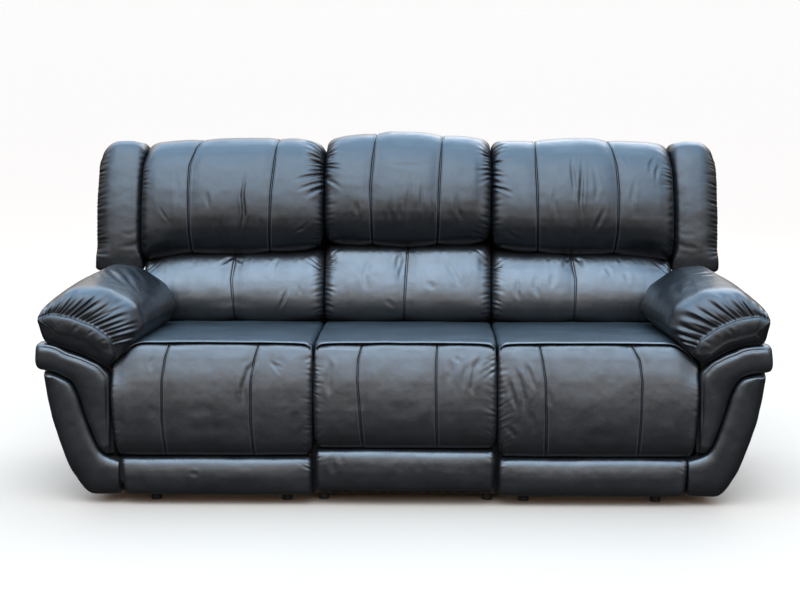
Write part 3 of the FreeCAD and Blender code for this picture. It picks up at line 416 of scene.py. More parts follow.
class Grid:
    """A closed sheet of points: rows along a piece, columns round it."""

    def __init__(self, base, u, s, first, last, wrap=True):
        self.base, self.u, self.s = base, np.asarray(u, float), np.asarray(s, float)
        self.first, self.last, self.wrap = first, last, wrap
        self.P = base.copy()
        self.closed = False
        self._normals()

    def _normals(self):
        P = self.P
        du = np.gradient(P, axis=0)
        dv = np.roll(P, -1, 1) - np.roll(P, 1, 1)
        n = np.cross(du, dv)
        length = np.linalg.norm(n, axis=-1, keepdims=True)
        n = n / np.maximum(length, 1e-9)
        mid = P[self.first : self.last + 1].mean(1, keepdims=True)
        sign = np.sign(np.sum(n[self.first : self.last + 1] * (P[self.first : self.last + 1] - mid)))
        self.flip = sign < 0
        self.N = n * (-1 if self.flip else 1)

    def push(self, h):
        self.P = self.P + self.N * h[..., None]
        self._normals()

    def at(self, u, s):
        """Point and normal at u along and s round."""
        rows = np.arange(self.first, self.last + 1)
        a = np.interp(u, self.u[rows], rows)
        b = np.interp(s, self.s, np.arange(len(self.s)))
        i, j = np.clip(np.floor(a).astype(int), 0, len(self.u) - 2), np.clip(np.floor(b).astype(int), 0, len(self.s) - 2)
        p, q = (a - i)[:, None], (b - j)[:, None]
        out = []
        for G in (self.P, self.N):
            out.append((G[i, j] * (1 - p) + G[i + 1, j] * p) * (1 - q) + (G[i, j + 1] * (1 - p) + G[i + 1, j + 1] * p) * q)
        return out[0], out[1] / np.linalg.norm(out[1], axis=1, keepdims=True)

    def mesh(self, name, material, side=1):
        nu, ns = self.P.shape[:2]
        P = self.P.copy()
        if side < 0:
            P[..., 0] *= -1
        i, j = np.meshgrid(np.arange(nu - 1), np.arange(ns), indexing="ij")
        k = (j + 1) % ns
        quads = np.stack([i * ns + j, i * ns + k, (i + 1) * ns + k, (i + 1) * ns + j], -1).reshape(-1, 4)
        cap_a, cap_b = np.arange(ns)[::-1][None], (np.arange(ns) + (nu - 1) * ns)[None]
        faces = [quads, cap_a] if self.closed else [quads, cap_a, cap_b]
        # outward facing
        if not (self.flip ^ (side < 0)):
            pass
        else:
            faces = [q[:, ::-1] for q in faces]
        # quads run u then s; their normal is du x dv reversed
        faces = [q[:, ::-1] for q in faces]
        ob = make_mesh(name, world(P.reshape(-1, 3)), faces, material)
        if self.closed:
            # the rows meet on one line in the middle of the panel: weld them there
            bm = bmesh.new()
            bm.from_mesh(ob.data)
            bmesh.ops.remove_doubles(bm, verts=bm.verts, dist=0.0006)
            bm.to_mesh(ob.data)
            bm.free()
        return ob


def edge(t, r):
    """How far a rounded edge of radius r stands in, t from the end."""
    t = np.clip(t, 0, r)
    return r - np.sqrt(np.maximum(r * r - (r - t) ** 2, 0))


def across(xa, xb, ra, rb, seams=(), dx=5.0, fine=(0, 0.8, 1.6, 2.5, 3.6, 5.0, 6.4, 7.6, 9.2, 12)):
    """Stations along a piece, close together at the ends and beside each seam."""
    a = np.linspace(0, math.pi / 2, 10)[:-1]
    xs = list(xa + ra * (1 - np.cos(a))) + list(xb - rb * (1 - np.cos(a)))
    mids = np.linspace(xa + ra, xb - rb, max(2, int(round((xb - xa - ra - rb) / dx)) + 1))
    mids = [x for x in mids if all(abs(x - c) > 14 for c in seams)]
    xs += mids
    for c in seams:
        for k in fine:
            xs += [c - k, c + k] if k else [c]
    xs = np.array(sorted(xs))
    keep = [0]
    for i in range(1, len(xs)):
        if xs[i] - xs[keep[-1]] > 0.3:
            keep.append(i)
    return xs[keep]


def cushion(xa, xb, poly, sigma, skel, gap, ra, rb, seams=(), bend=None, crown=None, axes=upright,
            dx=5.0, caps=(0.2, 0.45, 0.7, 0.88), cap_out=2.0, shape=None):
    """A stuffed form: a closed outline in two axes carried from xa to xb, with rounded, gathered ends.

    seams: nominal x of each upright seam; bend: for each of xa, seams, xb a function of the outline giving its sideways shift.
    ra, rb: edge radius at each end, a number or a function of the outline's points. crown: how much the ends pull in.
    """
    loop = soften(dense([poly])[0], sigma)
    ids = pick(loop, gap)
    C = loop[ids]
    arc = np.concatenate([[0], np.cumsum(np.linalg.norm(np.diff(loop, axis=0), axis=1))])[ids]
    T = nearest(C, skel)
    D = T - C
    dist = np.linalg.norm(D, axis=1)
    unit = D / dist[:, None]
    RA = np.minimum(ra(C) if callable(ra) else np.full(len(C), float(ra)), 0.8 * dist)
    RB = np.minimum(rb(C) if callable(rb) else np.full(len(C), float(rb)), 0.8 * dist)
    xs = across(xa, xb, RA.max(), RB.max(), seams, dx)
    X = np.repeat(xs[:, None], len(C), 1)
    ta, tb = X - xa, xb - X
    inset = edge(ta, RA[None]) + edge(tb, RB[None])
    if crown is not None:
        q = np.abs(2 * (X - xa) / (xb - xa) - 1)
        inset = inset + (crown(C) if callable(crown) else crown)[None] * q**2.6 if callable(crown) else inset + crown * q**2.6
    inset = np.minimum(inset, 0.9 * dist[None])
    A = C[None, :, 0] + unit[None, :, 0] * inset
    B = C[None, :, 1] + unit[None, :, 1] * inset
    # sideways shift of seams and ends
    if bend is not None:
        knots = np.array([xa, *seams, xb])
        shifts = np.array([b(C) if b is not None else np.zeros(len(C)) for b in bend])
        k = np.clip(np.searchsorted(knots, xs, side="right") - 1, 0, len(knots) - 2)
        t = ((xs - knots[k]) / (knots[k + 1] - knots[k]))[:, None]
        X = X + shifts[k] * (1 - t) + shifts[k + 1] * t
    # gathered end panels
    head, tail = [], []
    for c in caps:
        for rows, r, end, x0, out in ((head, RA, 0, X[0], -1), (tail, RB, -1, X[-1], 1)):
            ins = inset[end] + (dist - inset[end]) * c
            rows.append((x0 + out * cap_out * math.sin(math.pi * min(1, c * 1.2) / 2), C[:, 0] + unit[:, 0] * ins, C[:, 1] + unit[:, 1] * ins))
    head = head[::-1]
    X = np.concatenate([[h[0] for h in head], X, [h[0] for h in tail]])
    A = np.concatenate([[h[1] for h in head], A, [h[1] for h in tail]])
    B = np.concatenate([[h[2] for h in head], B, [h[2] for h in tail]])
    u = np.concatenate([xa - np.arange(len(head), 0, -1), xs, xb + np.arange(1, len(tail) + 1)])
    n = len(head)
    if shape is not None:
        X, A, B = shape(X, A, B)
    g = Grid(axes(X, A, B), u, arc, n, n + len(xs) - 1)
    g.X, g.A, g.B, g.C = X, A, B, C
    g.U = np.repeat(u[:, None], len(C), 1)
    g.S = np.repeat(arc[None], len(u), 0)
    g.ta, g.tb = np.clip(g.U - xa, 0, None), np.clip(xb - g.U, 0, None)
    g.body = np.zeros(len(u))
    g.body[n : n + len(xs)] = 1
    return g


def catmull(D, t):
    """Smooth reading of rows of values at fractional row numbers."""
    n = len(D)
    i = np.clip(np.floor(t).astype(int), 0, n - 2)
    f = (t - i).reshape((-1,) + (1,) * (D.ndim - 1))
    p0, p1, p2, p3 = D[np.clip(i - 1, 0, None)], D[i], D[i + 1], D[np.clip(i + 2, None, n - 1)]
    return 0.5 * (2 * p1 + (p2 - p0) * f + (2 * p0 - 5 * p1 + 4 * p2 - p3) * f**2 + (3 * p1 - p0 - 3 * p2 + p3) * f**3)


def settle(g, hold, seams=(), target=4.0, cap=12.0, step=20.0, frames=16, ends=45.0):
    """Fills a coarse cloth copy of the cover with pressure, held along its seams and its hidden side.

    The change, in millimetres, is carried over smoothly to the fine cover. target: how far the fuller parts swell; cap: the most a point may move.
    """
    nu, ns = g.P.shape[:2]
    seam_rows = {int(np.argmin(np.abs(g.u - c))) for c in seams}
    rows = [0, g.first]
    for i in range(g.first + 1, g.last):
        if i in seam_rows or (g.u[i] - g.u[rows[-1]] >= step and g.u[g.last] - g.u[i] > 0.6 * step):
            rows.append(i)
    rows += [g.last, nu - 1]
    cols = [0]
    for j in range(1, ns):
        if g.s[j] - g.s[cols[-1]] >= step:
            cols.append(j)
    rows, cols = np.array(rows), np.array(cols)
    m, n = len(rows), len(cols)
    V = g.P[rows][:, cols].reshape(-1, 3)
    i, j = np.meshgrid(np.arange(m - 1), np.arange(n), indexing="ij")
    k = (j + 1) % n
    quads = np.stack([i * n + j, i * n + k, (i + 1) * n + k, (i + 1) * n + j], -1).reshape(-1, 4)
    faces = [quads, np.arange(n)[::-1][None], (np.arange(n) + (m - 1) * n)[None]]
    if g.flip:
        faces = [q[:, ::-1] for q in faces]
    faces = [q[:, ::-1] for q in faces]
    ob = make_mesh("settling", world(V), faces, M_LEATHER)
    pin = np.clip(hold[rows][:, cols].astype(float), 0, 1)
    for a, r in enumerate(rows):
        if int(r) in seam_rows:
            pin[a] = 1.0
    pin[0] = pin[-1] = 1.0
    group = ob.vertex_groups.new(name="pin")
    for idx, w in enumerate(pin.ravel()):
        if w > 0.01:
            group.add([idx], float(w), "REPLACE")
    mod = ob.modifiers.new("cloth", "CLOTH")
    st = mod.settings
    st.quality = 5
    st.mass = 0.2
    st.tension_stiffness = st.compression_stiffness = 12
    st.shear_stiffness = 4
    st.bending_stiffness = 0.6
    st.air_damping = 1.5
    st.use_pressure = True
    st.uniform_pressure_force = 4.0
    st.vertex_group_mass = "pin"
    st.effector_weights.gravity = 0
    mod.collision_settings.use_collision = False
    mod.point_cache.frame_start, mod.point_cache.frame_end = 1, frames
    scene = bpy.context.scene
    for f in range(1, frames + 1):
        scene.frame_set(f)
    ev = ob.evaluated_get(bpy.context.evaluated_depsgraph_get())
    out = np.zeros(len(ev.data.vertices) * 3, np.float32)
    ev.data.vertices.foreach_get("co", out)
    new = out.reshape(-1, 3).astype(float)
    new[:, 1] += HALF_D / 1000
    D = (new * 1000 - V)
    me = ob.data
    bpy.data.objects.remove(ob)
    bpy.data.meshes.remove(me)
    scene.frame_set(1)
    if not np.isfinite(D).all():
        return
    size = np.linalg.norm(D, axis=1)
    top = np.percentile(size[pin.ravel() < 0.5], 92) if (pin.ravel() < 0.5).any() else 0
    if top < 0.02:
        return
    D *= target / top
    size = np.linalg.norm(D, axis=1, keepdims=True)
    D *= np.minimum(1, cap / np.maximum(size, 1e-6))
    D = D.reshape(m, n, 3)
    t_rows = np.interp(np.arange(nu), rows, np.arange(m))
    E = catmull(D, t_rows)
    total = g.s[-1] + (g.s[1] - g.s[0])
    ext = np.concatenate([E[:, -2:], E, E[:, :3]], 1)
    where = np.interp(g.s, np.append(g.s[cols], total), np.arange(n + 1)) + 2
    E = catmull(ext.transpose(1, 0, 2), where).transpose(1, 0, 2)
    near = np.minimum(g.u - g.u[g.first], g.u[g.last] - g.u)
    fall = sstep(-1.0, ends, near)[:, None, None]
    E[..., 0] *= fall[..., 0]
    E[..., 1:] *= 0.25 + 0.75 * fall
    g.P = g.P + E
    g._normals()


def front_s(g, b):
    """Arc position on the front of the outline at height b (the front runs first, upward or downward)."""
    C = g.C
    lead = C[:, 0] < np.interp(C[:, 1], *g.mid_line) if hasattr(g, "mid_line") else C[:, 0] < np.median(C[:, 0])
    idx = np.where(lead)[0]
    order = idx[np.argsort(C[idx, 1])]
    return np.interp(b, C[order, 1], g.s[order])


# ------------------------------------------------------------------ surface features, all in millimetres
def felled(d, depth=5.0, dip=3.6, reach=24.0, strip=0.9, rows=(-6.6, 6.6)):
    """A double-stitched seam seen across: a fold line, the raised allowance beside it and the stitch rows."""
    h = -dip * bell(d, reach) - depth * bell(d, 2.2)
    h = h + strip * (1 - sstep(7.5, 10.5, np.abs(d)))
    for r in rows:
        h = h - 0.8 * bell(d - r, 1.1)
    return h


def plain_seam(d, depth=5.0, width=3.2, dip=6.0, reach=26.0):
    return -depth * bell(d, width) - dip * bell(d, reach)


def pleats(t, s, items):
    """Gathers that run in from an edge. t: distance from the edge. items: (s0, length, width, depth, slope, curve)."""
    h = np.zeros_like(t)
    for s0, length, width, depth, slope, bow in items:
        m = (t < length * 1.02) & (np.abs(s - s0) < abs(slope) * length + abs(bow) * length + width * 5)
        if not m.any():
            continue
        tt, ss = t[m], s[m]
        k = np.clip(tt / length, 0, 1)
        line = s0 + slope * tt + bow * tt * k
        w = width * (0.55 + 0.95 * k)
        e = (ss - line) / w
        fade = (1 - k) ** 1.3 * (0.35 + 0.65 * np.clip(tt / 7, 0, 1))
        h[m] += depth * fade * (-np.exp(-e * e) + 0.42 * np.exp(-((e - 1.6) ** 2)) + 0.42 * np.exp(-((e + 1.6) ** 2)))
    return h


def gathers(rng, s0, s1, pitch, length, width, depth, slope=0.0, fan=0.0, jitter=0.35):
    """A run of irregular pleats from s0 to s1. fan: extra slope towards both ends."""
    out, s = [], s0
    while s < s1:
        k = (s - s0) / max(s1 - s0, 1) * 2 - 1
        out.append((s + rng.uniform(-jitter, jitter) * pitch, length * rng.uniform(0.55, 1.25), width * rng.uniform(0.75, 1.3),
                    depth * rng.uniform(0.5, 1.3), slope + fan * k + rng.uniform(-0.12, 0.12), rng.uniform(-0.10, 0.10)))
        s += pitch * rng.uniform(0.7, 1.3)
    return out


def stroke(a, b, pts, width, depth, lift=0.45, ends=0.35):
    """A crease along a polyline in two surface coordinates, with a soft ridge on each side."""
    pts = np.array(pts, float)
    seg = np.linalg.norm(np.diff(pts, axis=0), axis=1)
    total = seg.sum()
    run = np.concatenate([[0], np.cumsum(seg)])
    reach = width * 4.5
    lo, hi = pts.min(0) - reach, pts.max(0) + reach
    m = (a > lo[0]) & (a < hi[0]) & (b > lo[1]) & (b < hi[1])
    h = np.zeros_like(a)
    if not m.any():
        return h
    A, B = a[m], b[m]
    best, side, along = np.full(A.shape, 1e9), np.zeros(A.shape), np.zeros(A.shape)
    for i in range(len(seg)):
        p, d = pts[i], (pts[i + 1] - pts[i]) / seg[i]
        t = np.clip((A - p[0]) * d[0] + (B - p[1]) * d[1], 0, seg[i])
        ex, ey = A - p[0] - t * d[0], B - p[1] - t * d[1]
        dist = np.hypot(ex, ey)
        n = dist < best
        best = np.where(n, dist, best)
        side = np.where(n, np.sign(d[0] * ey - d[1] * ex) * dist, side)
        along = np.where(n, run[i] + t, along)
    k = along / total
    fade = np.clip(np.minimum(k, 1 - k) / ends, 0, 1)
    fade = fade * fade * (3 - 2 * fade)
    e = side / (width * (0.6 + 0.4 * fade))
    h[m] = depth * fade * (-np.exp(-e * e) + lift * np.exp(-((e - 1.7) ** 2)) + lift * np.exp(-((e + 1.7) ** 2)))
    return h


def soft_noise(g, big=1.6, small=0.5, seed=1, sx=1.0, sy=1.0):
    return big * fbm(g.X / (95 * sx), g.S / (80 * sy), seed) + small * fbm(g.X / (30 * sx), g.S / (26 * sy), seed + 5)


# ------------------------------------------------------------------ thread
def stitches(name, lines, pitch=6.0, length=4.2, radius=0.55, lift=0.30, side=1):
    """Short raised stitches laid end to end along lines of (points, normals)."""
    rings = [(-0.5, 0.35, -0.5), (-0.36, 0.95, 0.1), (0.0, 1.0, 0.45), (0.36, 0.95, 0.1), (0.5, 0.35, -0.5)]
    n = 6
    ang = np.arange(n) * 2 * math.pi / n
    V, F, base = [], [], 0
    for pts, nor in lines:
        seg = np.linalg.norm(np.diff(pts, axis=0), axis=1)
        run = np.concatenate([[0], np.cumsum(seg)])
        count = int(run[-1] / pitch)
        if count < 1:
            continue
        mid = (np.arange(count) + 0.5) * run[-1] / count
        c = np.stack([np.interp(mid, run, pts[:, k]) for k in range(3)], -1)
        a = np.stack([np.interp(mid - 1.5, run, pts[:, k]) for k in range(3)], -1)
        b = np.stack([np.interp(mid + 1.5, run, pts[:, k]) for k in range(3)], -1)
        nn = np.stack([np.interp(mid, run, nor[:, k]) for k in range(3)], -1)
        t = b - a
        t /= np.maximum(np.linalg.norm(t, axis=1, keepdims=True), 1e-9)
        nn -= t * (nn * t).sum(1, keepdims=True)
        nn /= np.maximum(np.linalg.norm(nn, axis=1, keepdims=True), 1e-9)
        q = np.cross(t, nn)
        vs = []
        for off, rr, up in rings:
            centre = c + t * (off * length) + nn * (lift + up * radius)
            for w in ang:
                vs.append(centre + (q * math.cos(w) + nn * math.sin(w)) * (rr * radius))
        vs = np.stack(vs, 1)  # count, rings*n, 3
        fs = []
        for i in range(len(rings) - 1):
            for j in range(n):
                fs.append([i * n + j, i * n + (j + 1) % n, (i + 1) * n + (j + 1) % n, (i + 1) * n + j])
        fs = np.array(fs)
        V.append(vs.reshape(-1, 3))
        F.append((fs[None] + (np.arange(count) * len(rings) * n)[:, None, None] + base).reshape(-1, 4))
        base += count * len(rings) * n
    V = np.concatenate(V)
    if side < 0:
        V[:, 0] *= -1
        F = [f[:, ::-1] for f in F]
    return make_mesh(name, world(V), np.concatenate(F), M_THREAD)


def finish_piece(ob, body, nodes=()):
    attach(ob, body)
    if nodes:
        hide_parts(*nodes)
    return ob


def line_on(g, us, ss):
    return g.at(np.asarray(us, float), np.asarray(ss, float))


# ------------------------------------------------------------------ backs
def table(xs, ys):
    return lambda x: np.interp(x, xs, ys)


def zv(z):
    """v on the front of a back for a height z."""
    return (np.asarray(z, float) - 377.0) / 0.978


BOTTOM = {  # how far the lower edge of an upper cushion hangs below its nominal line
    "end": table([275, 340, 414, 544, 674, 740, 788, 830, 857], [5, 0, -4, -8, -10, -13, -20, -32, -46]),
    "centre": table([-270, -200, 0, 150, 270], [0, 2, -3, 3, 5]),
}
TOP = {
    "left": table([275, 291, 323, 365, 515, 720, 822, 857], [-26, -18, -7, -1, 0, -7, -12, -18]),
    "right": table([275, 303, 396, 445, 560, 615, 664, 782, 824, 857], [-6, -8, -9, -5, 1, -1, -7, -9, -15, -22]),
    "centre": table([-269, -208, -142, -60, 38, 103, 202, 269], [-20, -10, -5, 3, 1, -7, -12, -22]),
}


def seam_bend(S, T, rows):
    """Sideways shift of an upright seam against v: rows at S, middle, T-100, T."""
    vs = [S, S + 60, (S + T) / 2, T - 100, T - 30, T]

    def f(C):
        b = np.interp(C[:, 1], vs, rows)
        return np.where(C[:, 0] > -40, rows[-1], b)

    return f


def upper_cushion(key, L, body, xa, xb, S, T, seams, bends, side):
    poly = [(56, S + 4), (-52, S - 3), (-92, S + 0), (-118, S + 14), (-136, S + 46), (-146, S + 76), (-149, S + 104), (-147, S + 142),
            (-141, S + 187), (-130, S + 232), (-116, S + 276), (-99, T - 60), (-76, T - 28), (-48, T - 8), (-14, T + 2), (40, T + 4), (96, T + 1), (132, T - 10),
            (149, T - 30), (149, T - 44), (56, T - 44)]
    skel = [(-48, S + 62), (-30, T - 100), (40, T - 40)]
    gap = lambda p: 3.4 if (p[0] < -45 or p[1] > T - 12) else 8.0
    front = lambda C: sstep(30, -70, C[:, 0])
    top = lambda C: sstep(T - 120, T - 10, C[:, 1])
    r = lambda C: 8 + 22 * front(C) + 18 * top(C)
    crown = lambda C: 3 + 9 * front(C) * (1 - 0.4 * top(C))
    ends = lambda C: 1.5 * np.sin(np.pi * np.clip((C[:, 1] - S) / (T - S), 0, 1)) - 3 * sstep(S + 40, S, C[:, 1])
    bend = [lambda C: -ends(C)] + bends + [ends]
    low = BOTTOM["centre" if side == 0 else "end"]
    high = TOP[key]

    def shape(X, A, B):
        dv = low(X) * (1 - sstep(S + 5, S + 175, B)) + high(X) * sstep(T - 170, T - 10, B)
        return X, A, B + dv

    g = cushion(xa, xb, poly, 9, skel, gap, r, r, seams, bend, crown, leaned, dx=4.6, shape=shape)
    settle(g, sstep(0, 50, g.A), seams, 5.0, 14.0)
    rng = np.random.default_rng({"left": 3, "centre": 5, "right": 8}[key])
    vis = sstep(20, -60, g.A) + sstep(T - 60, T - 20, g.B) * (g.A > -40)
    vis = np.clip(vis, 0, 1) * g.body[:, None]
    s_of = lambda v: np.interp(v, *s_map(g))
    h = soft_noise(g, 1.7, 0.28, 31 + len(key) * 7, 1.3, 1.2) * vis
    # faint upright wrinkles, stronger low down
    drag = fbm(g.X / 20.0 + 0.5 * noise2(g.X / 60, g.S / 90, 5), g.S / 150.0, 77 + len(key), 2)
    h += 0.9 * drag * vis * (0.25 + 0.75 * sstep(T - 120, S + 60, g.B))
    for c in seams:
        h += felled(g.U - c) * (vis > 0)
    # gathers at both ends
    sT, sS = s_of(T - 22), s_of(S + 20)
    lo, hi = min(sT, sS), max(sT, sS)
    deep0, deep1 = sorted((s_of(T - 10), s_of(T - 165)))
    mild0, mild1 = sorted((s_of(T - 165), s_of(S + 25)))
    corner0, corner1 = sorted((s_of(S + 60), s_of(S + 8)))
    up = 1 if sT > sS else -1
    inner_depth = {"left": 11.5, "centre": 7.5, "right": 8.0}[key]
    a_items = gathers(rng, deep0, deep1, 20, 82 if key == "left" else 60, 6.2, inner_depth, -0.15 * up, 0.35 * up)
    a_items += gathers(rng, mild0, mild1, 24, 38, 6, 1.9, 0.1 * up)
    a_items += gathers(rng, corner0, corner1, 11, 42, 4.2, 3.2, 0.5 * up)
    h += pleats(g.ta, g.S, a_items) * g.body[:, None]
    if side == 0:
        b_items = gathers(rng, deep0, deep1, 20, 66, 6.0, 8.5, 0.0, 0.35 * up)
        b_items += gathers(rng, mild0, mild1, 24, 40, 6, 2.2, 0.15 * up)
    else:
        b_items = gathers(rng, deep0, deep1, 12.5, 30 if key == "left" else 44, 3.6, 3.6 if key == "left" else 5.0, 0.35 * up, 0.2 * up)
        b_items += gathers(rng, mild0, mild1, 20, 34, 6, 2.2, -0.3 * up)
    b_items += gathers(rng, corner0, corner1, 10, 44, 4.2, 3.6, 0.6 * up)
    h += pleats(g.tb, g.S, b_items) * g.body[:, None]
    # single creases that show in the middle of the panels
    creases = {
        "left": [([(520, 604), (530, 540), (534, 490), (528, 430), (540, 376), (562, 340)], 6.0, 7.5), ([(600, 440), (606, 400), (600, 350)], 6, 1.4),
                 ([(655, 520), (640, 440)], 9, 1.6), ([(812, 470), (786, 424), (762, 400)], 5, 1.3), ([(480, 440), (474, 400), (476, 350)], 6, 1.4),
                 ([(760, 610), (748, 520), (752, 450)], 11, 1.0), ([(312, 420), (340, 388), (392, 366)], 5, 1.8)],
        "centre": [([(2, 590), (6, 520), (-2, 440), (4, 372)], 9, 2.0), ([(-52, 520), (-58, 450), (-50, 372)], 8, 2.4), ([(46, 560), (44, 470), (52, 392)], 8, 2.3),
                   ([(74, 505), (88, 440), (80, 380)], 7, 2.2), ([(-30, 480), (-24, 400)], 7, 1.8), ([(150, 520), (160, 450), (182, 400)], 10, 2.0),
                   ([(-170, 480), (-160, 420)], 10, 1.6), ([(-95, 600), (20, 592), (95, 603)], 9, 1.0), ([(200, 385), (232, 372), (252, 352)], 5, 3.0),
                   ([(185, 365), (215, 362), (240, 345)], 4.5, 2.6), ([(-250, 400), (-236, 372)], 5, 2.6)],
        "right": [([(533, 655), (531, 590), (536, 520), (532, 470)], 8, 3.4), ([(566, 648), (562, 560), (556, 470), (563, 410), (556, 362)], 8, 5.2),
                  ([(600, 600), (610, 520), (600, 450)], 9, 1.8), ([(480, 560), (470, 480), (486, 400)], 9, 1.7), ([(640, 470), (610, 400), (590, 362)], 8, 2.2),
                  ([(735, 560), (720, 480), (728, 420)], 10, 1.7), ([(806, 640), (786, 600), (780, 560)], 7, 3.2), ([(822, 620), (804, 575), (800, 530)], 6, 3.0),
                  ([(700, 640), (712, 600)], 8, 1.5), ([(310, 400), (330, 370), (372, 352)], 7, 2.2)],
    }[key]
    Bv = g.B
    for pts, wd, dp in creases:
        h += stroke(g.X, Bv, pts, 0.85 * wd, dp, ends=0.5) * sstep(0, -60, g.A)
    g.push(h)
    ob = g.mesh(L + "upper_cushion_cover", M_LEATHER, -1 if side < 0 else 1)
    finish_piece(ob, body, [L + "upper_cushion"])
    # stitch rows, over the top and down the front
    sv = np.array(sorted((s_of(S + 6), s_of(T - 8))))
    s_line = np.linspace(sv[0], g.s[np.argmax(g.C[:, 0] > 90)] if g.s[np.argmax(g.C[:, 0] > 90)] > sv[1] else sv[1], 220)
    lines = []
    for c in seams:
        for row in (-6.6, 6.6):
            lines.append(line_on(g, np.full(220, c + row), s_line))
    ob2 = stitches(L + "upper_cushion_stitching", lines, side=-1 if side < 0 else 1)
    finish_piece(ob2, body, ())
    return g


def s_map(g):
    """Tables that turn a height on the front of the outline into an arc position."""
    C = g.C
    i = np.argmin(C[:, 1] + (C[:, 0] > -40) * 1e4)
    lead = C[:, 0] < -36
    order = np.where(lead)[0]
    order = order[np.argsort(C[order, 1])]
    return C[order, 1], g.s[order]


def lumbar_cushion(key, L, body, xa, xb, S, seam, bend, side):
    poly = [(56, 62), (-40, 62), (-62, 88), (-96, 88), (-118, 106), (-130, 130), (-133, 156), (-131, 186), (-125, 216), (-115, 246), (-102, 272), (-87, S - 14), (-70, S + 6), (-54, S + 16), (56, S + 16)]
    skel = [(-36, 110), (-30, S - 60)]
    gap = lambda p: 3.4 if p[0] < -50 else 9.0
    front = lambda C: sstep(30, -70, C[:, 0])
    r = lambda C: 8 + 24 * front(C)
    crown = lambda C: 3 + 10 * front(C)
    low = BOTTOM["centre" if side == 0 else "end"]
    ends = lambda C: 2.0 * np.sin(np.pi * np.clip((C[:, 1] - 80) / (S - 80), 0, 1))

    def shape(X, A, B):
        return X, A, B + (0.62 * low(X) - 1.5) * sstep(S - 170, S - 8, B)

    rout = (lambda C: 8 + 12 * front(C)) if side else r
    g = cushion(xa, xb, poly, 9, skel, gap, r, rout, [seam], [lambda C: -ends(C), bend, ends], crown, leaned, dx=4.6, shape=shape)
    settle(g, sstep(-40, 20, g.A), [seam], 4.0, 12.0)
    rng = np.random.default_rng({"left": 13, "centre": 15, "right": 18}[key])
    vis = sstep(20, -60, g.A) * g.body[:, None]
    s_of = lambda v: np.interp(v, *s_map(g))
    h = soft_noise(g, 1.6, 0.3, 51 + len(key) * 3, 1.3, 1.2) * vis
    h += 0.7 * fbm(g.X / 22.0, g.S / 120.0, 99 + len(key), 2) * vis
    h += plain_seam(g.U - seam, 4.2, 2.4, 6.5, 30) * (vis > 0)
    s0, s1 = sorted((s_of(100), s_of(S - 30)))
    up = 1 if s_of(S - 30) > s_of(100) else -1
    top0, top1 = sorted((s_of(S - 70), s_of(S - 14)))
    ga = gathers(rng, s0, s1, 13.5, 40, 4.4, 4.2 if key != "left" else 3.6, -0.35 * up, 0.2 * up)
    gb = gathers(rng, s0, s1, 13.5 if side == 0 else 17, 40 if side == 0 else 46, 4.4, 4.0 if side == 0 else 2.0, -0.2 * up, 0.35 * up)
    ga += gathers(rng, top0, top1, 12, 60, 4.6, 3.4, 0.9 * up)
    gb += gathers(rng, top0, top1, 12, 66, 4.6, 3.4, 0.9 * up)
    h += (pleats(g.ta, g.S, ga) + pleats(g.tb, g.S, gb)) * g.body[:, None]
    # puckers under the edge of the cushion above
    x = xa + 26
    while x < xb - 20:
        dvv = float(low(x))
        ln = rng.uniform(18, 48)
        lean_ = rng.uniform(-14, 14)
        h += stroke(g.X, g.B, [(x, S - 4 + dvv), (x + lean_, S - 10 - ln + dvv)], rng.uniform(4.5, 8), rng.uniform(0.8, 2.6), ends=0.9) * sstep(-20, -70, g.A)
        x += rng.uniform(22, 58)
    creases = {
        "left": [([(564, 306), (588, 292), (612, 268)], 6, 2.6), ([(560, 300), (540, 278)], 6, 2.0), ([(420, 300), (436, 262), (440, 226)], 8, 1.8),
                 ([(390, 196), (400, 158), (420, 118)], 5.0, 3.4), ([(352, 210), (346, 170)], 5, 1.6), ([(640, 140), (560, 150), (480, 138)], 14, 0.8)],
        "centre": [([(-2, 326), (-30, 296), (-38, 250)], 7, 2.0), ([(-8, 320), (-16, 280), (-30, 220)], 6, 2.2), ([(-120, 300), (-140, 240), (-130, 180)], 10, 2.0),
                   ([(120, 290), (150, 240), (170, 200)], 10, 1.8), ([(60, 220), (90, 190)], 10, 1.4), ([(-70, 160), (-40, 130)], 8, 1.4)],
        "right": [([(531, 308), (512, 290), (500, 262)], 6.5, 2.2), ([(537, 306), (560, 288), (566, 262)], 6.5, 2.4), ([(420, 250), (410, 200), (424, 160)], 9, 1.8),
                  ([(470, 250), (462, 190)], 9, 1.6), ([(640, 268), (660, 236)], 8, 1.8), ([(700, 250), (716, 214)], 8, 1.6), ([(360, 240), (352, 190), (364, 150)], 8, 2.0)],
    }[key]
    for pts, wd, dp in creases:
        h += stroke(g.X, g.B, pts, wd, dp) * sstep(-10, -70, g.A)
    g.push(h)
    ob = g.mesh(L + "lumbar_cushion_cover", M_PAD, -1 if side < 0 else 1)
    finish_piece(ob, body, [L + "lumbar_cushion"])
    return g


def centre_bend(rows):
    return rows


def bend_v(points):
    vs, ds = zip(*points)
    return lambda C: np.interp(C[:, 1], vs, ds)


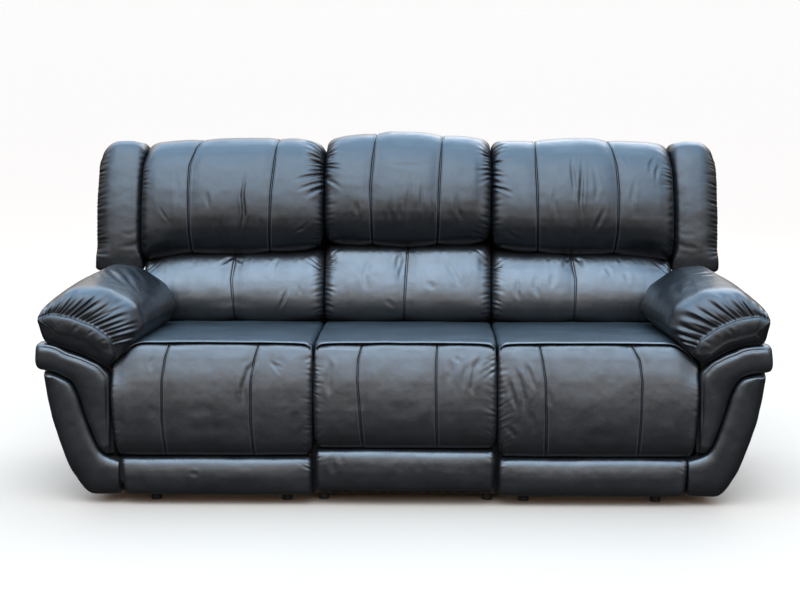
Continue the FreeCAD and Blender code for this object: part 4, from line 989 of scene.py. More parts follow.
def wing(L, body, side, key, xa=861, xb=1010):
    poly = [(-80, 251), (-52, 253), (-32, 256), (-5, 265), (30, 277), (150, 314), (150, 640), (136, 668), (104, 683), (44, 691), (-8, 688), (-34, 672), (-49, 640), (-61, 600), (-76, 530), (-87, 455), (-92, 370), (-89, 300)]
    skel = [(10, 322), (25, 630)]
    gap = lambda p: 3.4 if (p[0] < 0 or p[1] > 640) else 6.5
    front = lambda C: sstep(60, -50, C[:, 0])
    low = lambda C: sstep(345, 270, C[:, 1])
    ra = lambda C: 12 + 16 * front(C) * (1 - 0.95 * low(C)) - 7 * low(C)
    rb = lambda C: 16 + 40 * front(C) * (1 - 0.8 * low(C)) + 16 * sstep(560, 680, C[:, 1]) * (1 - front(C)) - 8 * low(C)
    bulge = lambda C: 3.0 * np.sin(np.pi * np.clip((C[:, 1] - 300) / 390, 0, 1)) - 5 * sstep(600, 690, C[:, 1])
    top = lambda X: np.interp(X, [xa, xa + 45, xa + 95, xb], [-4, 2, 1, -16])

    def shape(X, A, B):
        return X, A, B + top(X) * sstep(560, 680, B)

    g = cushion(xa, xb, poly, 7, skel, gap, ra, rb, (), [None, bulge], lambda C: 2 + 6 * front(C), leaned, dx=4.2, shape=shape, cap_out=1.5)
    settle(g, sstep(60, 130, g.A), (), 2.5, 8.0, ends=30)
    rng = np.random.default_rng(23 if side < 0 else 29)
    h = soft_noise(g, 1.2, 0.4, 61 + (side > 0)) * g.body[:, None]
    # ruching along the outer edge: front, over the top, and its echo behind
    s_front = lambda v: np.interp(v, *wing_map(g))
    lo, hi = sorted((s_front(300), s_front(650)))
    items = gathers(rng, lo, hi, 12.5, 46, 4.0, 3.4, -0.12, 0.1)
    tops = sorted((g.s[np.argmin(np.hypot(g.C[:, 0] + 60, g.C[:, 1] - 660))], g.s[np.argmin(np.hypot(g.C[:, 0] - 130, g.C[:, 1] - 672))]))
    items += gathers(rng, tops[0], tops[1], 14, 34, 4.2, 2.6)
    h += pleats(g.tb, g.S, items) * g.body[:, None]
    inner = gathers(rng, lo, hi, 26, 24, 6, 1.4)
    h += pleats(g.ta, g.S, inner) * g.body[:, None]
    h += stroke(g.X, g.B, [(868, 352), (900, 334), (950, 330)], 8, 0.9) * sstep(0, -50, g.A)
    h += stroke(g.X, g.B, [(872, 380), (905, 372), (945, 374)], 8, 0.6) * sstep(0, -50, g.A)
    g.push(h)
    ob = g.mesh(L + "back_wing_cover", M_LEATHER, side)
    finish_piece(ob, body, [L + "back_wing"])
    return g


def wing_map(g):
    C = g.C
    order = np.where(C[:, 0] < -40)[0]
    order = order[np.argsort(C[order, 1])]
    return C[order, 1], g.s[order]


# ------------------------------------------------------------------ flat padded panels
def slab(name, outline, axis0, axis1, rim, crown, to_world, material, side=1, sigma=5, skel=None, extra=None, gap=6.0, rows=()):
    """A thin padded panel: an outline carried from axis0 (hidden) to axis1 (shown), its shown edge rounded and its face crowned."""
    loop = soften(dense([outline])[0], sigma)
    C = loop[pick(loop, lambda p: gap)]
    T = nearest(C, skel)
    D = T - C
    dist = np.linalg.norm(D, axis=1)
    unit = D / np.maximum(dist, 1e-6)[:, None]
    sgn = 1 if axis1 > axis0 else -1
    P, u = [], []
    for c in (0.7, 0.3):
        P.append((axis0, dist * c))
    P.append((axis0, np.minimum(1.0, dist)))
    P.append((axis0 + sgn * 1.0, dist * 0))
    span_ = abs(axis1 - axis0)
    for k in np.linspace(0.25, 1, 3):
        P.append((axis0 + sgn * (span_ - rim) * k, dist * 0))
    for a in np.linspace(0, math.pi / 2, 6)[1:]:
        P.append((axis0 + sgn * (span_ - rim + rim * math.sin(a)), np.minimum(rim * (1 - math.cos(a)), 0.5 * dist)))
    steps = list(rows) + list(np.linspace(rim + 5, max(dist.max(), rim + 20), max(8, int(dist.max() / 12))))
    for d in sorted(steps):
        inset = np.minimum(d, dist)
        P.append((axis1 + sgn * crown * (1 - np.clip(1 - (inset - rim) / 60.0, 0, 1) ** 2), inset))
    pts = []
    for a, ins in P:
        q = C + unit * np.broadcast_to(ins, dist.shape)[:, None]
        pts.append(np.stack([q[:, 0], q[:, 1], np.broadcast_to(a, dist.shape)], -1))
    pts = np.array(pts)
    if extra is not None:
        pts = extra(pts, P)
    base = to_world(pts)
    g = Grid(base, np.arange(len(P)), np.arange(len(C)), 2, 9)
    g.pts, g.C = pts, C
    g.closed = True
    return g


def back_panel(L, body, side, xa, xb, loop, key):
    mid = (xa + xb) / 2
    skel = [(mid, loop[0][1] + 180), (mid, 520)] if side == 0 else [(570, 130), (620, 440), (700, 520)]

    def extra(p, P):
        q = p.copy()
        n = fbm(p[..., 0] / 140, p[..., 1] / 110, 7 + int(side), 3) * 2.2 + 1.2 * fbm(p[..., 0] / 40, p[..., 1] / 160, 17, 2)
        shown = p[..., 2] > 162.5
        sag = 3.5 * np.sin((p[..., 1] + 60) / 95.0 + 0.6 * noise2(p[..., 0] / 120, p[..., 1] / 200, 4)) * sstep(300, -100, p[..., 1])
        # soft noise over the shown face and a slow wave low down; the stitched hem round the edge is added below
        q[..., 2] = p[..., 2] + np.where(shown, n + sag * 0.35, 0)
        return q

    def tw(p):
        return leaned(p[..., 0], p[..., 2], p[..., 1])

    g = slab(L + "back_rear_panel_cover", loop, 151, 162, 5, 5, tw, M_SIDE, side, 4, skel, extra, 6.0, rows=(8, 10.5, 11.5, 12.5, 14, 17))
    d = np.linalg.norm(g.pts[..., :2] - g.C[None], axis=-1)
    face = g.pts[..., 2] > 158
    h = np.where(face, -1.6 * bell(d - 11.5, 1.6) - 0.8 * bell(d - 11.5, 6), 0)
    g.push(h)
    ob = g.mesh(L + "back_rear_panel_cover", M_SIDE, -1 if side < 0 else 1)
    finish_piece(ob, body, [L + "back_rear_panel"])
    row = int(np.argmin(np.abs(np.array([np.median(np.linalg.norm(r[:, :2] - g.C, axis=1)) if r[0, 2] > 158 else 99 for r in g.pts]) - 14)))
    pts = np.concatenate([g.P[row], g.P[row][:1]])
    nor = np.concatenate([g.N[row], g.N[row][:1]])
    ob2 = stitches(L + "back_rear_panel_stitching", [(pts, nor)], pitch=7, side=-1 if side < 0 else 1)
    finish_piece(ob2, body, ())
    return g


# ------------------------------------------------------------------ seats
def seat_drop(x):
    return 42 * sstep(770, 872, x) ** 1.3


def seat_cover(L, body, side, xa, xb, key, f_front):
    poly = [(602, 396), (84, 396), (f_front, 412), (f_front, 482), (f_front + 7, 486.5), (110, 487), (220, 483), (330, 476), (440, 466), (540, 459), (590, 454), (601, 446)]
    skel = [(110, 442), (560, 424)]
    gap = lambda p: 6.0 if p[1] > 440 else 14.0
    top = lambda C: sstep(420, 470, C[:, 1])
    r = lambda C: 7 + 9 * top(C)
    end = side != 0

    def shape(X, A, B):
        up = np.clip((B - 396) / 90.0, 0, 1)
        if end:
            B = B - seat_drop(X) * up
        sit = 5.0 * np.exp(-(((A - 330) / 170) ** 2)) * np.exp(-(((X - (xa + xb) / 2) / (0.33 * (xb - xa))) ** 2))
        puff = 3.0 * np.sin(np.pi * np.clip((X - xa) / (xb - xa), 0, 1)) ** 0.6
        return X, A, B + (puff - sit) * up

    g = cushion(xa, xb, poly, 5, skel, gap, r, r, (), None, 2.0, upright, dx=6.0, shape=shape, cap_out=1.0)
    settle(g, sstep(450, 425, g.B), (), 2.0, 6.0, step=26)
    up = sstep(430, 465, g.B) * g.body[:, None]
    seed = {"left": 1, "centre": 2, "right": 3}[key]
    h = 1.5 * fbm(g.X / 85, g.A / 85, 200 + seed) + 0.8 * fbm(g.X / 34, g.A / 60, 210 + seed) + 0.5 * fbm(g.X / 70, g.A / 20, 220 + seed, 2)
    h = h * up * sstep(66, 130, g.A)
    rng = np.random.default_rng(300 + seed)
    # creases that run in from the rear corners and the sides
    w = xb - xa
    for _ in range(9):
        x0, f0 = xa + rng.uniform(0.08, 0.9) * w, rng.uniform(180, 520)
        a = rng.uniform(-0.5, 0.5)
        ln = rng.uniform(50, 130)
        h += stroke(g.X, g.A, [(x0, f0), (x0 + ln * math.cos(a), f0 + ln * 0.6 * math.sin(a))], rng.uniform(5, 10), rng.uniform(0.5, 1.3)) * up
    g.push(h)
    ob = g.mesh(L + "seat_cushion_cover", M_SEAT, -1 if side < 0 else 1)
    finish_piece(ob, body, [L + "seat_cushion"])
    return g


def crest_loop(z0, rear=50.0):
    """Outline of the front pad: rear face, underside, bulging front and crest."""
    front = [(52, 479), (43, 466), (34, 447), (25.5, 424), (17.5, 402), (11, 379), (6, 354), (2, 329), (-1, 305), (-3.5, z0 + 122), (-4.5, z0 + 96), (-4.5, z0 + 72), (-2.5, z0 + 46), (4, z0 + 23), (16, z0 + 6), (30, z0 - 1)]
    return [(62, 410), (62, 486)] + front + [(rear, z0), (rear, 398)]


def front_pad(L, body, nodes, side, xa, xb, key, z0, seams, bends):
    poly = crest_loop(z0)
    skel = [(34, z0 + 42), (34, 380), (44, 430)]
    gap = lambda p: 3.4 if p[0] < 48 or p[1] > 470 else 9.0
    face = lambda C: sstep(50, 20, C[:, 0])
    crestw = lambda C: sstep(430, 480, C[:, 1])
    r = lambda C: 7 + 12 * np.maximum(face(C), 0.5 * crestw(C))
    end = side != 0
    rout = (lambda C: 6 + 7 * np.maximum(face(C), 0.5 * crestw(C))) if end else r
    # the outer side leans in towards the floor, and both sides pull in at the corners
    if end:
        sb = lambda C: np.interp(C[:, 1], [z0, 200, 330, 400, 440, 486], [-17, -9, 1.0, 1.0, 0, -3])
        sa = lambda C: np.interp(C[:, 1], [z0, 200, 330, 420, 486], [4, 0, -2.0, -1, 2])
    else:
        sb = lambda C: np.interp(C[:, 1], [z0, 200, 330, 430, 486], [-4, 0, 2.5, 1, -3])
        sa = lambda C: -sb(C)

    def shape(X, A, B):
        if end:
            B = B - seat_drop(X) * sstep(300, 470, B)
        puff = 3.0 * np.sin(np.pi * np.clip((X - xa) / (xb - xa), 0, 1)) ** 0.6
        return X, A, B + puff * sstep(430, 486, B)

    crown = lambda C: 1 + 2.0 * face(C)
    g = cushion(xa, xb, poly, 6, skel, gap, r, rout, seams, [sa] + bends + [sb], crown, upright, dx=4.6, shape=shape, cap_out=1.0, caps=(0.3, 0.6, 0.85))
    settle(g, sstep(36, 46, g.A), seams, 2.2, 5.5)
    seed = {"left": 1, "centre": 2, "right": 3}[key]
    rng = np.random.default_rng(400 + seed)
    vis = np.clip(sstep(52, 30, g.A) + (g.B > 470), 0, 1) * g.body[:, None]
    h = (1.3 * fbm(g.X / 110, g.B / 95, 410 + seed) + 0.45 * fbm(g.X / 34, g.B / 36, 420 + seed)) * vis
    h += 0.55 * fbm(g.X / 18.0, g.B / 120.0, 430 + seed, 2) * vis * sstep(200, 420, g.B)
    for c in seams:
        h += felled(g.U - c, depth=4.6, dip=3.0, reach=26) * (vis > 0) * sstep(z0 - 5, z0 + 20, g.B)
    s_of = lambda z: np.interp(z, *pad_map(g))
    s0, s1 = sorted((s_of(z0 + 12), s_of(440)))
    up = 1 if s_of(440) > s_of(z0 + 12) else -1
    if key == "centre":
        ga = gathers(rng, *sorted((s_of(300), s_of(420))), 11, 34, 3.8, 2.6, -0.2 * up)
        ga += gathers(rng, *sorted((s_of(180), s_of(300))), 20, 30, 5, 1.2)
        gb = gathers(rng, s0, s1, 22, 40, 5, 1.5, 0.3 * up)
        gb += gathers(rng, *sorted((s_of(400), s_of(455))), 14, 60, 5, 2.4, -0.7 * up)
    elif key == "right":
        ga = gathers(rng, *sorted((s_of(165), s_of(300))), 9.5, 48, 3.8, 2.6, 0.65 * up)
        ga += gathers(rng, *sorted((s_of(300), s_of(430))), 15, 36, 5, 1.5, 0.3 * up)
        gb = gathers(rng, s0, s1, 26, 26, 5, 1.2, 0.2 * up)
    else:
        ga = gathers(rng, s0, s1, 24, 30, 5, 1.4, 0.2 * up)
        ga += gathers(rng, *sorted((s_of(420), s_of(455))), 12, 40, 4.5, 2.4, -0.5 * up)
        gb = gathers(rng, s0, s1, 24, 26, 5, 1.3, 0.2 * up)
    corner = sorted((s_of(z0 + 4), s_of(z0 + 38)))
    ga += gathers(rng, corner[0], corner[1], 9, 34, 4, 3.0, 0.9 * up)
    gb += gathers(rng, corner[0], corner[1], 9, 34, 4, 2.6, 0.9 * up)
    h += (pleats(g.ta, g.S, ga) + pleats(g.tb, g.S, gb)) * g.body[:, None]
    creases = {
        "left": [([(402, 440), (384, 420), (366, 396)], 5, 1.4), ([(432, 446), (462, 410), (478, 360), (476, 300)], 8, 2.6), ([(384, 428), (362, 412)], 4.5, 1.1),
                 ([(742, 456), (752, 430), (750, 400)], 6, 1.1), ([(320, 300), (330, 230)], 14, 1.2), ([(520, 250), (600, 232), (660, 240)], 18, 1.0), ([(560, 300), (640, 290)], 16, 0.8)],
        "centre": [([(-236, 452), (-220, 420), (-226, 380), (-220, 320)], 9, 2.0), ([(232, 462), (206, 420), (196, 360), (206, 330)], 9, 2.6),
                   ([(196, 440), (176, 400), (170, 350)], 9, 1.6), ([(126, 448), (134, 410), (124, 370)], 9, 1.3), ([(-60, 300), (10, 292), (60, 300)], 18, 0.8), ([(150, 452), (160, 430)], 7, 1.2)],
        "right": [([(318, 430), (336, 386), (350, 330), (348, 280)], 8, 2.6), ([(350, 438), (368, 398), (384, 350)], 8, 2.4), ([(300, 400), (316, 340), (330, 290)], 7, 2.2),
                  ([(420, 360), (430, 300)], 9, 1.2), ([(520, 232), (600, 220), (650, 232)], 18, 1.0), ([(370, 300), (380, 250), (376, 210)], 9, 1.6), ([(300, 250), (330, 210)], 8, 1.8)],
    }[key]
    for pts, wd, dp in creases:
        h += stroke(g.X, g.B, pts, wd, dp) * sstep(50, 30, g.A)
    g.push(h)
    ob = g.mesh(L + ("footrest_pad_cover" if end else "seat_front_cover"), M_PAD, -1 if side < 0 else 1)
    finish_piece(ob, body, nodes)
    zs = sorted((s_of(z0 + 3), s_of(478)))
    crest_s = g.s[np.argmin(np.hypot(g.C[:, 0] - 56, g.C[:, 1] - 485))]
    sl = np.linspace(min(zs[0], crest_s) if crest_s < zs[0] else zs[0], max(zs[1], crest_s) if crest_s > zs[1] else zs[1], 200)
    lines = []
    for c in seams:
        for row in (-6.6, 6.6):
            lines.append(line_on(g, np.full(200, c + row), sl))
    ob2 = stitches(L + "front_pad_stitching", lines, side=-1 if side < 0 else 1)
    finish_piece(ob2, body, ())
    return g


def pad_map(g):
    C = g.C
    order = np.where((C[:, 0] < 47))[0]
    order = order[np.argsort(C[order, 1])]
    return C[order, 1], g.s[order]


def lower_band(L, body, node_, side, xa, xb, key, z0, z1):
    poly = [(50, z0), (18, z0), (8, z0 + 3), (3, z0 + 14), (0, z0 + 34), (-1, z0 + 60), (1, z1 - 36), (5, z1 - 18), (13, z1 - 5), (25, z1), (50, z1)]
    skel = [(34, z0 + 24), (34, z1 - 24)]
    gap = lambda p: 3.4 if p[0] < 47 else 9.0
    r = lambda C: 6 + 9 * sstep(48, 25, C[:, 0])
    if side:
        bend = [None, lambda C: np.interp(C[:, 1], [z0, z1], [-9, 2])]
    else:
        bend = [lambda C: np.interp(C[:, 1], [z0, z1], [4, 0]), lambda C: np.interp(C[:, 1], [z0, z1], [-4, 0])]
    seed = {"left": 1, "centre": 2, "right": 3}[key]

    def shape(X, A, B):
        wave = 1.8 * noise2(X / 150, X * 0, 500 + seed)
        return X, A, B + wave * sstep(z0 + 30, z1, B)

    g = cushion(xa, xb, poly, 5, skel, gap, r, r, (), bend, lambda C: 1 + 2.5 * sstep(40, 15, C[:, 0]), upright, dx=5.0, shape=shape, cap_out=1.0, caps=(0.3, 0.6, 0.85))
    settle(g, sstep(34, 44, g.A), (), 2.0, 6.0)
    rng = np.random.default_rng(510 + seed)
    vis = sstep(50, 30, g.A) * g.body[:, None]
    h = (1.1 * fbm(g.X / 90, g.B / 60, 520 + seed) + 0.5 * fbm(g.X / 26, g.B / 50, 530 + seed)) * vis
    s_of = lambda z: np.interp(z, *pad_map(g))
    s0, s1 = sorted((s_of(z1 - 40), s_of(z1 - 6)))
    items = gathers(rng, s0, s1, 10, 38, 4, 2.2, 0.4)
    h += (pleats(g.ta, g.S, items) + pleats(g.tb, g.S, gathers(rng, s0, s1, 12, 30, 4, 1.8, 0.4))) * g.body[:, None]
    if key == "centre":
        h += stroke(g.X, g.B, [(-212, z1 - 4), (-216, z1 - 40), (-210, z1 - 80)], 10, 2.0) * vis
        h += stroke(g.X, g.B, [(-196, z1 - 8), (-186, z1 - 44)], 9, 1.2) * vis
    if key == "left":
        h += stroke(g.X, g.B, [(640, z1 - 44), (610, z1 - 52)], 7, 1.2) * vis
    g.push(h)
    ob = g.mesh(L + ("footrest_lower_cover" if side else "lower_pad_cover"), M_PAD, -1 if side < 0 else 1)
    finish_piece(ob, body, [node_])
    return g


# ------------------------------------------------------------------ the strip that joins seat and front pad
def bridge(name, side, xa, xb, bodies, f0=46.0, f1=84.0):
    """A leather strip over the gap between seat and front pad; its front hem is pressed in as a seam line, its rear
    edge tucked under.
    """
    n = 120
    xs = xa + 3 + (xb - xa - 6) * np.linspace(0, 1, n)
    k = np.linspace(0, 1, 26)
    P = np.zeros((n, len(k) * 2, 3))
    t_end = np.minimum(xs - xa, xb - xs)
    fall = edge(np.clip(t_end - 2, 0, None), 22.0)
    puff = 3.0 * np.sin(np.pi * np.clip((xs - xa) / (xb - xa), 0, 1)) ** 0.6
    drop = seat_drop(xs) if side else 0 * xs
    wave = 0.5 * noise2(xs / 60, xs * 0, 71)
    curl = 9 * (1 - np.clip(t_end / 60, 0, 1)) ** 2  # the seam line bows forward and down at both ends
    for i, a in enumerate(k):
        f = f0 + (f1 - f0) * a
        ff = f - curl * (1 - a)
        crest = 424 + np.sqrt(np.maximum(62.0**2 - (62 - np.minimum(ff, 62)) ** 2, 0))
        top = crest + puff - drop - 0.86 * fall
        lift = 2.1 * (1 - sstep(0.62, 1.0, a)) - 2.6 * sstep(0.8, 1.0, a)
        hem = -1.3 * bell((a - 0.16) * (f1 - f0), 1.5) + 0.5 * bell((a - 0.05) * (f1 - f0), 2.5)
        P[:, i] = np.stack([xs, ff, top + lift + hem + wave], -1)
        P[:, len(k) * 2 - 1 - i] = np.stack([xs, ff, top + lift - 1.6 + wave - (0.6 if i == 0 else 0)], -1)
    g = Grid(P, xs, np.arange(len(k) * 2), 0, n - 1)
    ob = g.mesh(name, M_PAD, -1 if side < 0 else 1)
    return g, ob


# ------------------------------------------------------------------ arms
def fit(side, x, z, f=0.0):
    """The two arms are not quite alike: the left one is a little wider, and its shoulder hangs lower."""
    if side < 0:
        dx = 2 + 7 * float(sstep(880, 960, x)) + 6 * float(sstep(1040, 1076, x)) * float(sstep(395, 440, z))
        dx *= float(sstep(620, 300, f)) if f > 0 else 1.0
        drop = 22 * float(sstep(1046, 975, x)) * float(sstep(380, 430, z)) + 9 * float(sstep(60, 160, z)) * float(sstep(1040, 1000, x)) * float(sstep(430, 380, z))
        drop *= float(sstep(500, 492, z)) if z < 505 else 0.0
        inner = -11 * float(sstep(860, 800, x))
    else:
        dx = -4 * float(sstep(900, 876, x))
        drop = 8 * float(sstep(1010, 960, x)) * float(sstep(400, 430, z)) * float(sstep(500, 492, z))
        inner = -6 * float(sstep(860, 800, x))
    return x + dx + inner, z - drop


def arm_pad(L, side):
    """The pillow on the arm: small at the stitched front edge, swelling back over the arm."""
    low4 = [(990, 488.5), (940, 472.5), (903, 450.5)]
    secs = [
        (24, [(1056, 489.5)] + low4 + [(880, 430), (864, 446), (850, 468), (864, 502), (912, 540), (975, 566), (1034, 576), (1074, 562)]),
        (100, [(1056, 489.5)] + low4 + [(880, 441), (862, 464), (812, 492), (780, 528), (806, 592), (884, 642), (985, 645), (1070, 580)]),
        (310, [(1052, 489.5)] + low4 + [(880, 441), (864, 462), (800, 482), (758, 516), (786, 592), (864, 645), (962, 651), (1058, 584)]),
        (492, [(1046, 489.5)] + low4 + [(880, 441), (868, 462), (794, 474), (746, 506), (776, 588), (850, 643), (940, 654), (1040, 584)]),
        (534, [(1044, 489.5)] + low4 + [(880, 441), (874, 456), (874, 474), (874, 502), (873, 604), (882, 643), (940, 648), (1038, 582)]),
        (640, [(1034, 489.5)] + low4 + [(880, 441), (875, 456), (875, 474), (875, 502), (874, 576), (884, 599), (940, 602), (1030, 562)]),
        (772, [(1020, 489.5)] + low4 + [(880, 441), (875, 456), (875, 474), (875, 488), (876, 504), (890, 522), (940, 529), (1014, 518)]),
    ]
    secs = [(f, [fit(side, x, z, f) for x, z in ps]) for f, ps in secs]
    fs = np.array([f for f, _ in secs], float)
    loops = soften(dense([p for _, p in secs]), 13)
    # keep the lowest, hidden line where the cap carries it
    ref = loops[2]
    ids = pick(ref, lambda p: 3.6 if (p[1] > 492 or p[0] < 866) else 7.0)
    loops = loops[:, ids]
    arc = np.concatenate([[0], np.cumsum(np.linalg.norm(np.diff(ref, axis=0), axis=1))])[ids]
    a = list(24 + 26 * (1 - np.cos(np.linspace(0, math.pi / 2, 12)))) + list(np.arange(53, 128, 3.0)) + list(np.arange(128, 470, 4.4)) + list(np.arange(470, 560, 3.6)) + list(np.arange(560, 756, 6.0))
    a += list(772 - 16 * (1 - np.sin(np.linspace(0, math.pi / 2, 7)))[0:])
    a = np.array(sorted(set(np.round(a, 3))))
    # weights between sections: the front swells like a quarter ellipse
    t = np.interp(a, fs, np.arange(len(fs)))
    i = np.clip(t.astype(int), 0, len(fs) - 2)
    w = t - i
    w = np.where(i == 0, np.sqrt(np.clip(1 - (1 - w) ** 2, 0, 1)) ** 1.05, np.where(i == 3, w * w * (3 - 2 * w), w))
    Q = loops[i] * (1 - w)[:, None, None] + loops[i + 1] * w[:, None, None]
    # smooth the run along the arm
    k = np.array([1, 2, 3, 2, 1], float)
    k /= k.sum()
    pad = np.concatenate([Q[:1], Q[:1], Q, Q[-1:], Q[-1:]])
    sm = sum(k[j] * pad[j : j + len(Q)] for j in range(5))
    keep = sstep(60, 100, a)[:, None, None]
    Q = Q * (1 - keep) + sm * keep
    even = np.arange(24.0, 773.0, 2.0)
    flat = np.array([np.interp(even, a, Q.reshape(len(a), -1)[:, c]) for c in range(Q.shape[1] * 2)])
    ker = np.exp(-(np.arange(-24, 25) * 2 / 13.0) ** 2)
    ker /= ker.sum()
    wide = np.array([np.convolve(np.pad(r, 24, mode="edge"), ker, mode="valid") for r in flat])
    blur = np.array([np.interp(a, even, r) for r in wide]).T.reshape(Q.shape)
    keep = (sstep(50, 80, a) * (1 - sstep(420, 470, a)))[:, None, None]
    Q = Q * (1 - keep) + blur * keep
    skel = [(890, 470), (930, 505), (1020, 525)]
    rear_in = edge(np.clip(772 - a, 0, None), 20.0)
    F = np.repeat(a[:, None], Q.shape[1], 1)
    for n in range(len(a)):
        if rear_in[n] > 0:
            T = nearest(Q[n], skel)
            D = T - Q[n]
            d = np.linalg.norm(D, axis=1, keepdims=True)
            Q[n] += D / d * np.minimum(rear_in[n], 0.8 * d)
    # front end panel, a soft face in front of the edge seam
    T = nearest(Q[0], [(896, 470), (940, 505), (1025, 528)])
    D = T - Q[0]
    front, ff = [], []
    dist = np.linalg.norm(D, axis=1)
    tan = np.roll(Q[0], -2, 0) - np.roll(Q[0], 2, 0)
    inw = np.stack([-tan[:, 1], tan[:, 0]], -1) / np.linalg.norm(tan, axis=1, keepdims=True)
    inw *= np.sign(np.sum(inw * D))
    core = Q[0] + inw * 11.0
    core = soften(core, 9, 3.6)
    T2 = nearest(core, [(896, 466), (940, 500), (1025, 524)])
    for ins in (2.0, 4.2, 6.5, 8.5, 10.5, 13, 17, 22, 28, 35, 43, 52, 62):
        if ins <= 16:
            front.append(Q[0] + (core - Q[0]) * ins / 16)
        else:
            front.append(core + (T2 - core) * min(0.985, (ins - 16) / 47))
        ff.append(np.full(len(dist), 24 - 12.5 * (1 - np.exp(-ins / 14.0))))
    front, ff = np.array(front[::-1]), np.array(ff[::-1])
    T = nearest(Q[-1], skel)
    tail = np.array([Q[-1] + (T - Q[-1]) * c for c in (0.3, 0.6, 0.9)])
    XZ = np.concatenate([front, Q, tail])
    FF = np.concatenate([ff, F, np.array([[773.5], [774.5], [775]]) + 0 * tail[..., 0]])
    u = np.concatenate([24 - np.array([2.0, 4.2, 6.5, 8.5, 10.5, 13, 17, 22, 28, 35, 43, 52, 62])[::-1], a, [780, 784, 788]])
    n0 = len(front)
    g = Grid(upright(XZ[..., 0], FF, XZ[..., 1]), u, arc, n0, n0 + len(a) - 1)
    g.U, g.S = np.repeat(u[:, None], len(arc), 1), np.repeat(arc[None], len(u), 0)
    g.X, g.Z = XZ[..., 0], XZ[..., 1]
    left = side < 0
    settle(g, np.maximum(sstep(500, 480, g.Z), sstep(740, 765, g.U)), [24.0], 3.5, 9.0, ends=1.0)
    rng = np.random.default_rng(41 if left else 43)
    t = np.clip(g.U - 24, 0, None)
    body = (g.U >= 24).astype(float)
    # arc positions of the inner lower corner, the crown and the outer lower edge of the front seam
    Q0 = Q[0]
    sa = arc[np.argmin(np.hypot(Q0[:, 0] - 858, Q0[:, 1] - 476))]
    sb = arc[np.argmin(np.hypot(Q0[:, 0] - 1066, Q0[:, 1] - 566))]
    s0, s1 = min(sa, sb), max(sa, sb)
    h = (1.6 * fbm(g.S / 95, g.U / 110, 601 + left) + 0.5 * fbm(g.S / 30, g.U / 34, 611 + left)) * (0.3 + 0.7 * sstep(470, 500, g.Z))
    if left:
        items = gathers(rng, s0 + 6, s1 + 4, 20, 44, 7.2, 6.0, 0.0, 0.4, 0.5)
        items += gathers(rng, s0 + 10, s1 - 10, 52, 74, 8, 3.4, 0.0, 0.2)
    else:
        items = gathers(rng, s0 + 8, s1, 29, 52, 8.6, 6.2, 0.0, 0.35, 0.5)
        items += gathers(rng, s0 + 20, s1 - 10, 12, 22, 3.6, 2.0)
    h += pleats(t, g.S, items) * body
    # the seam itself, and slow folds in the end panel below it
    h += -2.6 * bell(g.U - 24, 2.4)
    if left:
        folds = [([(s0 + 30, -12), (s0 + 60, -34)], 6, 2.0), ([(s0 + 95, -10), (s0 + 120, -42)], 8, 2.4), ([(s0 + 160, -12), (s0 + 190, -46)], 9, 2.4)]
    else:
        folds = [([(s0 + 40, -12), (s0 + 66, -40)], 8, 2.0), ([(s0 + 150, -12), (s0 + 170, -46)], 9, 2.0)]
    for pts, wd, dp in folds:
        h += stroke(g.S, g.U - 0, [(p, 24 + q) for p, q in pts], wd, dp, ends=0.8)
    h += 2.0 * fbm(g.X / 60, g.Z / 50, 640 + left) * (g.U < 14)
    # long oblique wrinkles on the crown, running out from the back
    crown = arc[np.argmin(np.hypot(ref[ids][:, 0] - 884, ref[ids][:, 1] - 650))]
    inner = arc[np.argmin(np.hypot(ref[ids][:, 0] - 770, ref[ids][:, 1] - 560))]
    d = 1 if crown > inner else -1
    if left:
        long = [([(crown + 60 * d, 470), (crown + 10 * d, 360), (crown - 50 * d, 250), (crown - 96 * d, 190)], 11, 3.6), ([(crown + 84 * d, 430), (crown + 36 * d, 330), (crown - 12 * d, 236), (crown - 50 * d, 176)], 10, 3.0),
                ([(crown + 30 * d, 480), (crown - 30 * d, 390), (crown - 76 * d, 300)], 11, 2.6), ([(crown + 118 * d, 380), (crown + 80 * d, 290), (crown + 46 * d, 214)], 10, 2.2),
                ([(crown - 60 * d, 470), (crown - 100 * d, 400)], 12, 1.6), ([(crown + 130 * d, 470), (crown + 120 * d, 400)], 12, 1.6)]
    else:
        long = [([(crown + 90 * d, 460), (crown + 40 * d, 420), (crown - 20 * d, 400)], 9, 1.6), ([(crown + 96 * d, 400), (crown + 44 * d, 360), (crown - 16 * d, 344)], 9, 1.8),
                ([(crown + 100 * d, 340), (crown + 40 * d, 306), (crown - 14 * d, 296)], 9, 1.5), ([(crown + 60 * d, 500), (crown + 10 * d, 470)], 9, 1.4),
                ([(crown - 60 * d, 330), (crown - 80 * d, 230), (crown - 84 * d, 150)], 14, 1.4), ([(crown - 30 * d, 260), (crown - 40 * d, 170)], 12, 1.2)]
    for pts, wd, dp in long:
        h += stroke(g.S, g.U, pts, wd, dp, ends=0.45) * body
    rear = gathers(rng, s0, s1, 30, 60, 8, 1.4)
    h += pleats(np.clip(772 - g.U, 0, None), g.S, rear) * body
    g.push(h)
    ob = g.mesh(L + "arm_pad_cover", M_LEATHER, side)
    finish_piece(ob, "root", [L + "arm_pad"])
    # topstitch on the end panel in the lighter thread, its lightness partly painted highlight, just inside the seam,
    # and one behind it
    ss = np.linspace(s0 - 6, s1 + 10, 160)
    r0 = n0 - 4
    def row(r):
        b = np.interp(ss, g.s, np.arange(len(g.s)))
        j = np.clip(b.astype(int), 0, len(g.s) - 2)
        q = (b - j)[:, None]
        return g.P[r][j] * (1 - q) + g.P[r][j + 1] * q, g.N[r][j]
    ob2 = stitches(L + "arm_pad_stitching", [row(n0 - 2), row(n0 - 6)], side=side, radius=0.6)
    finish_piece(ob2, "root", ())
    return g


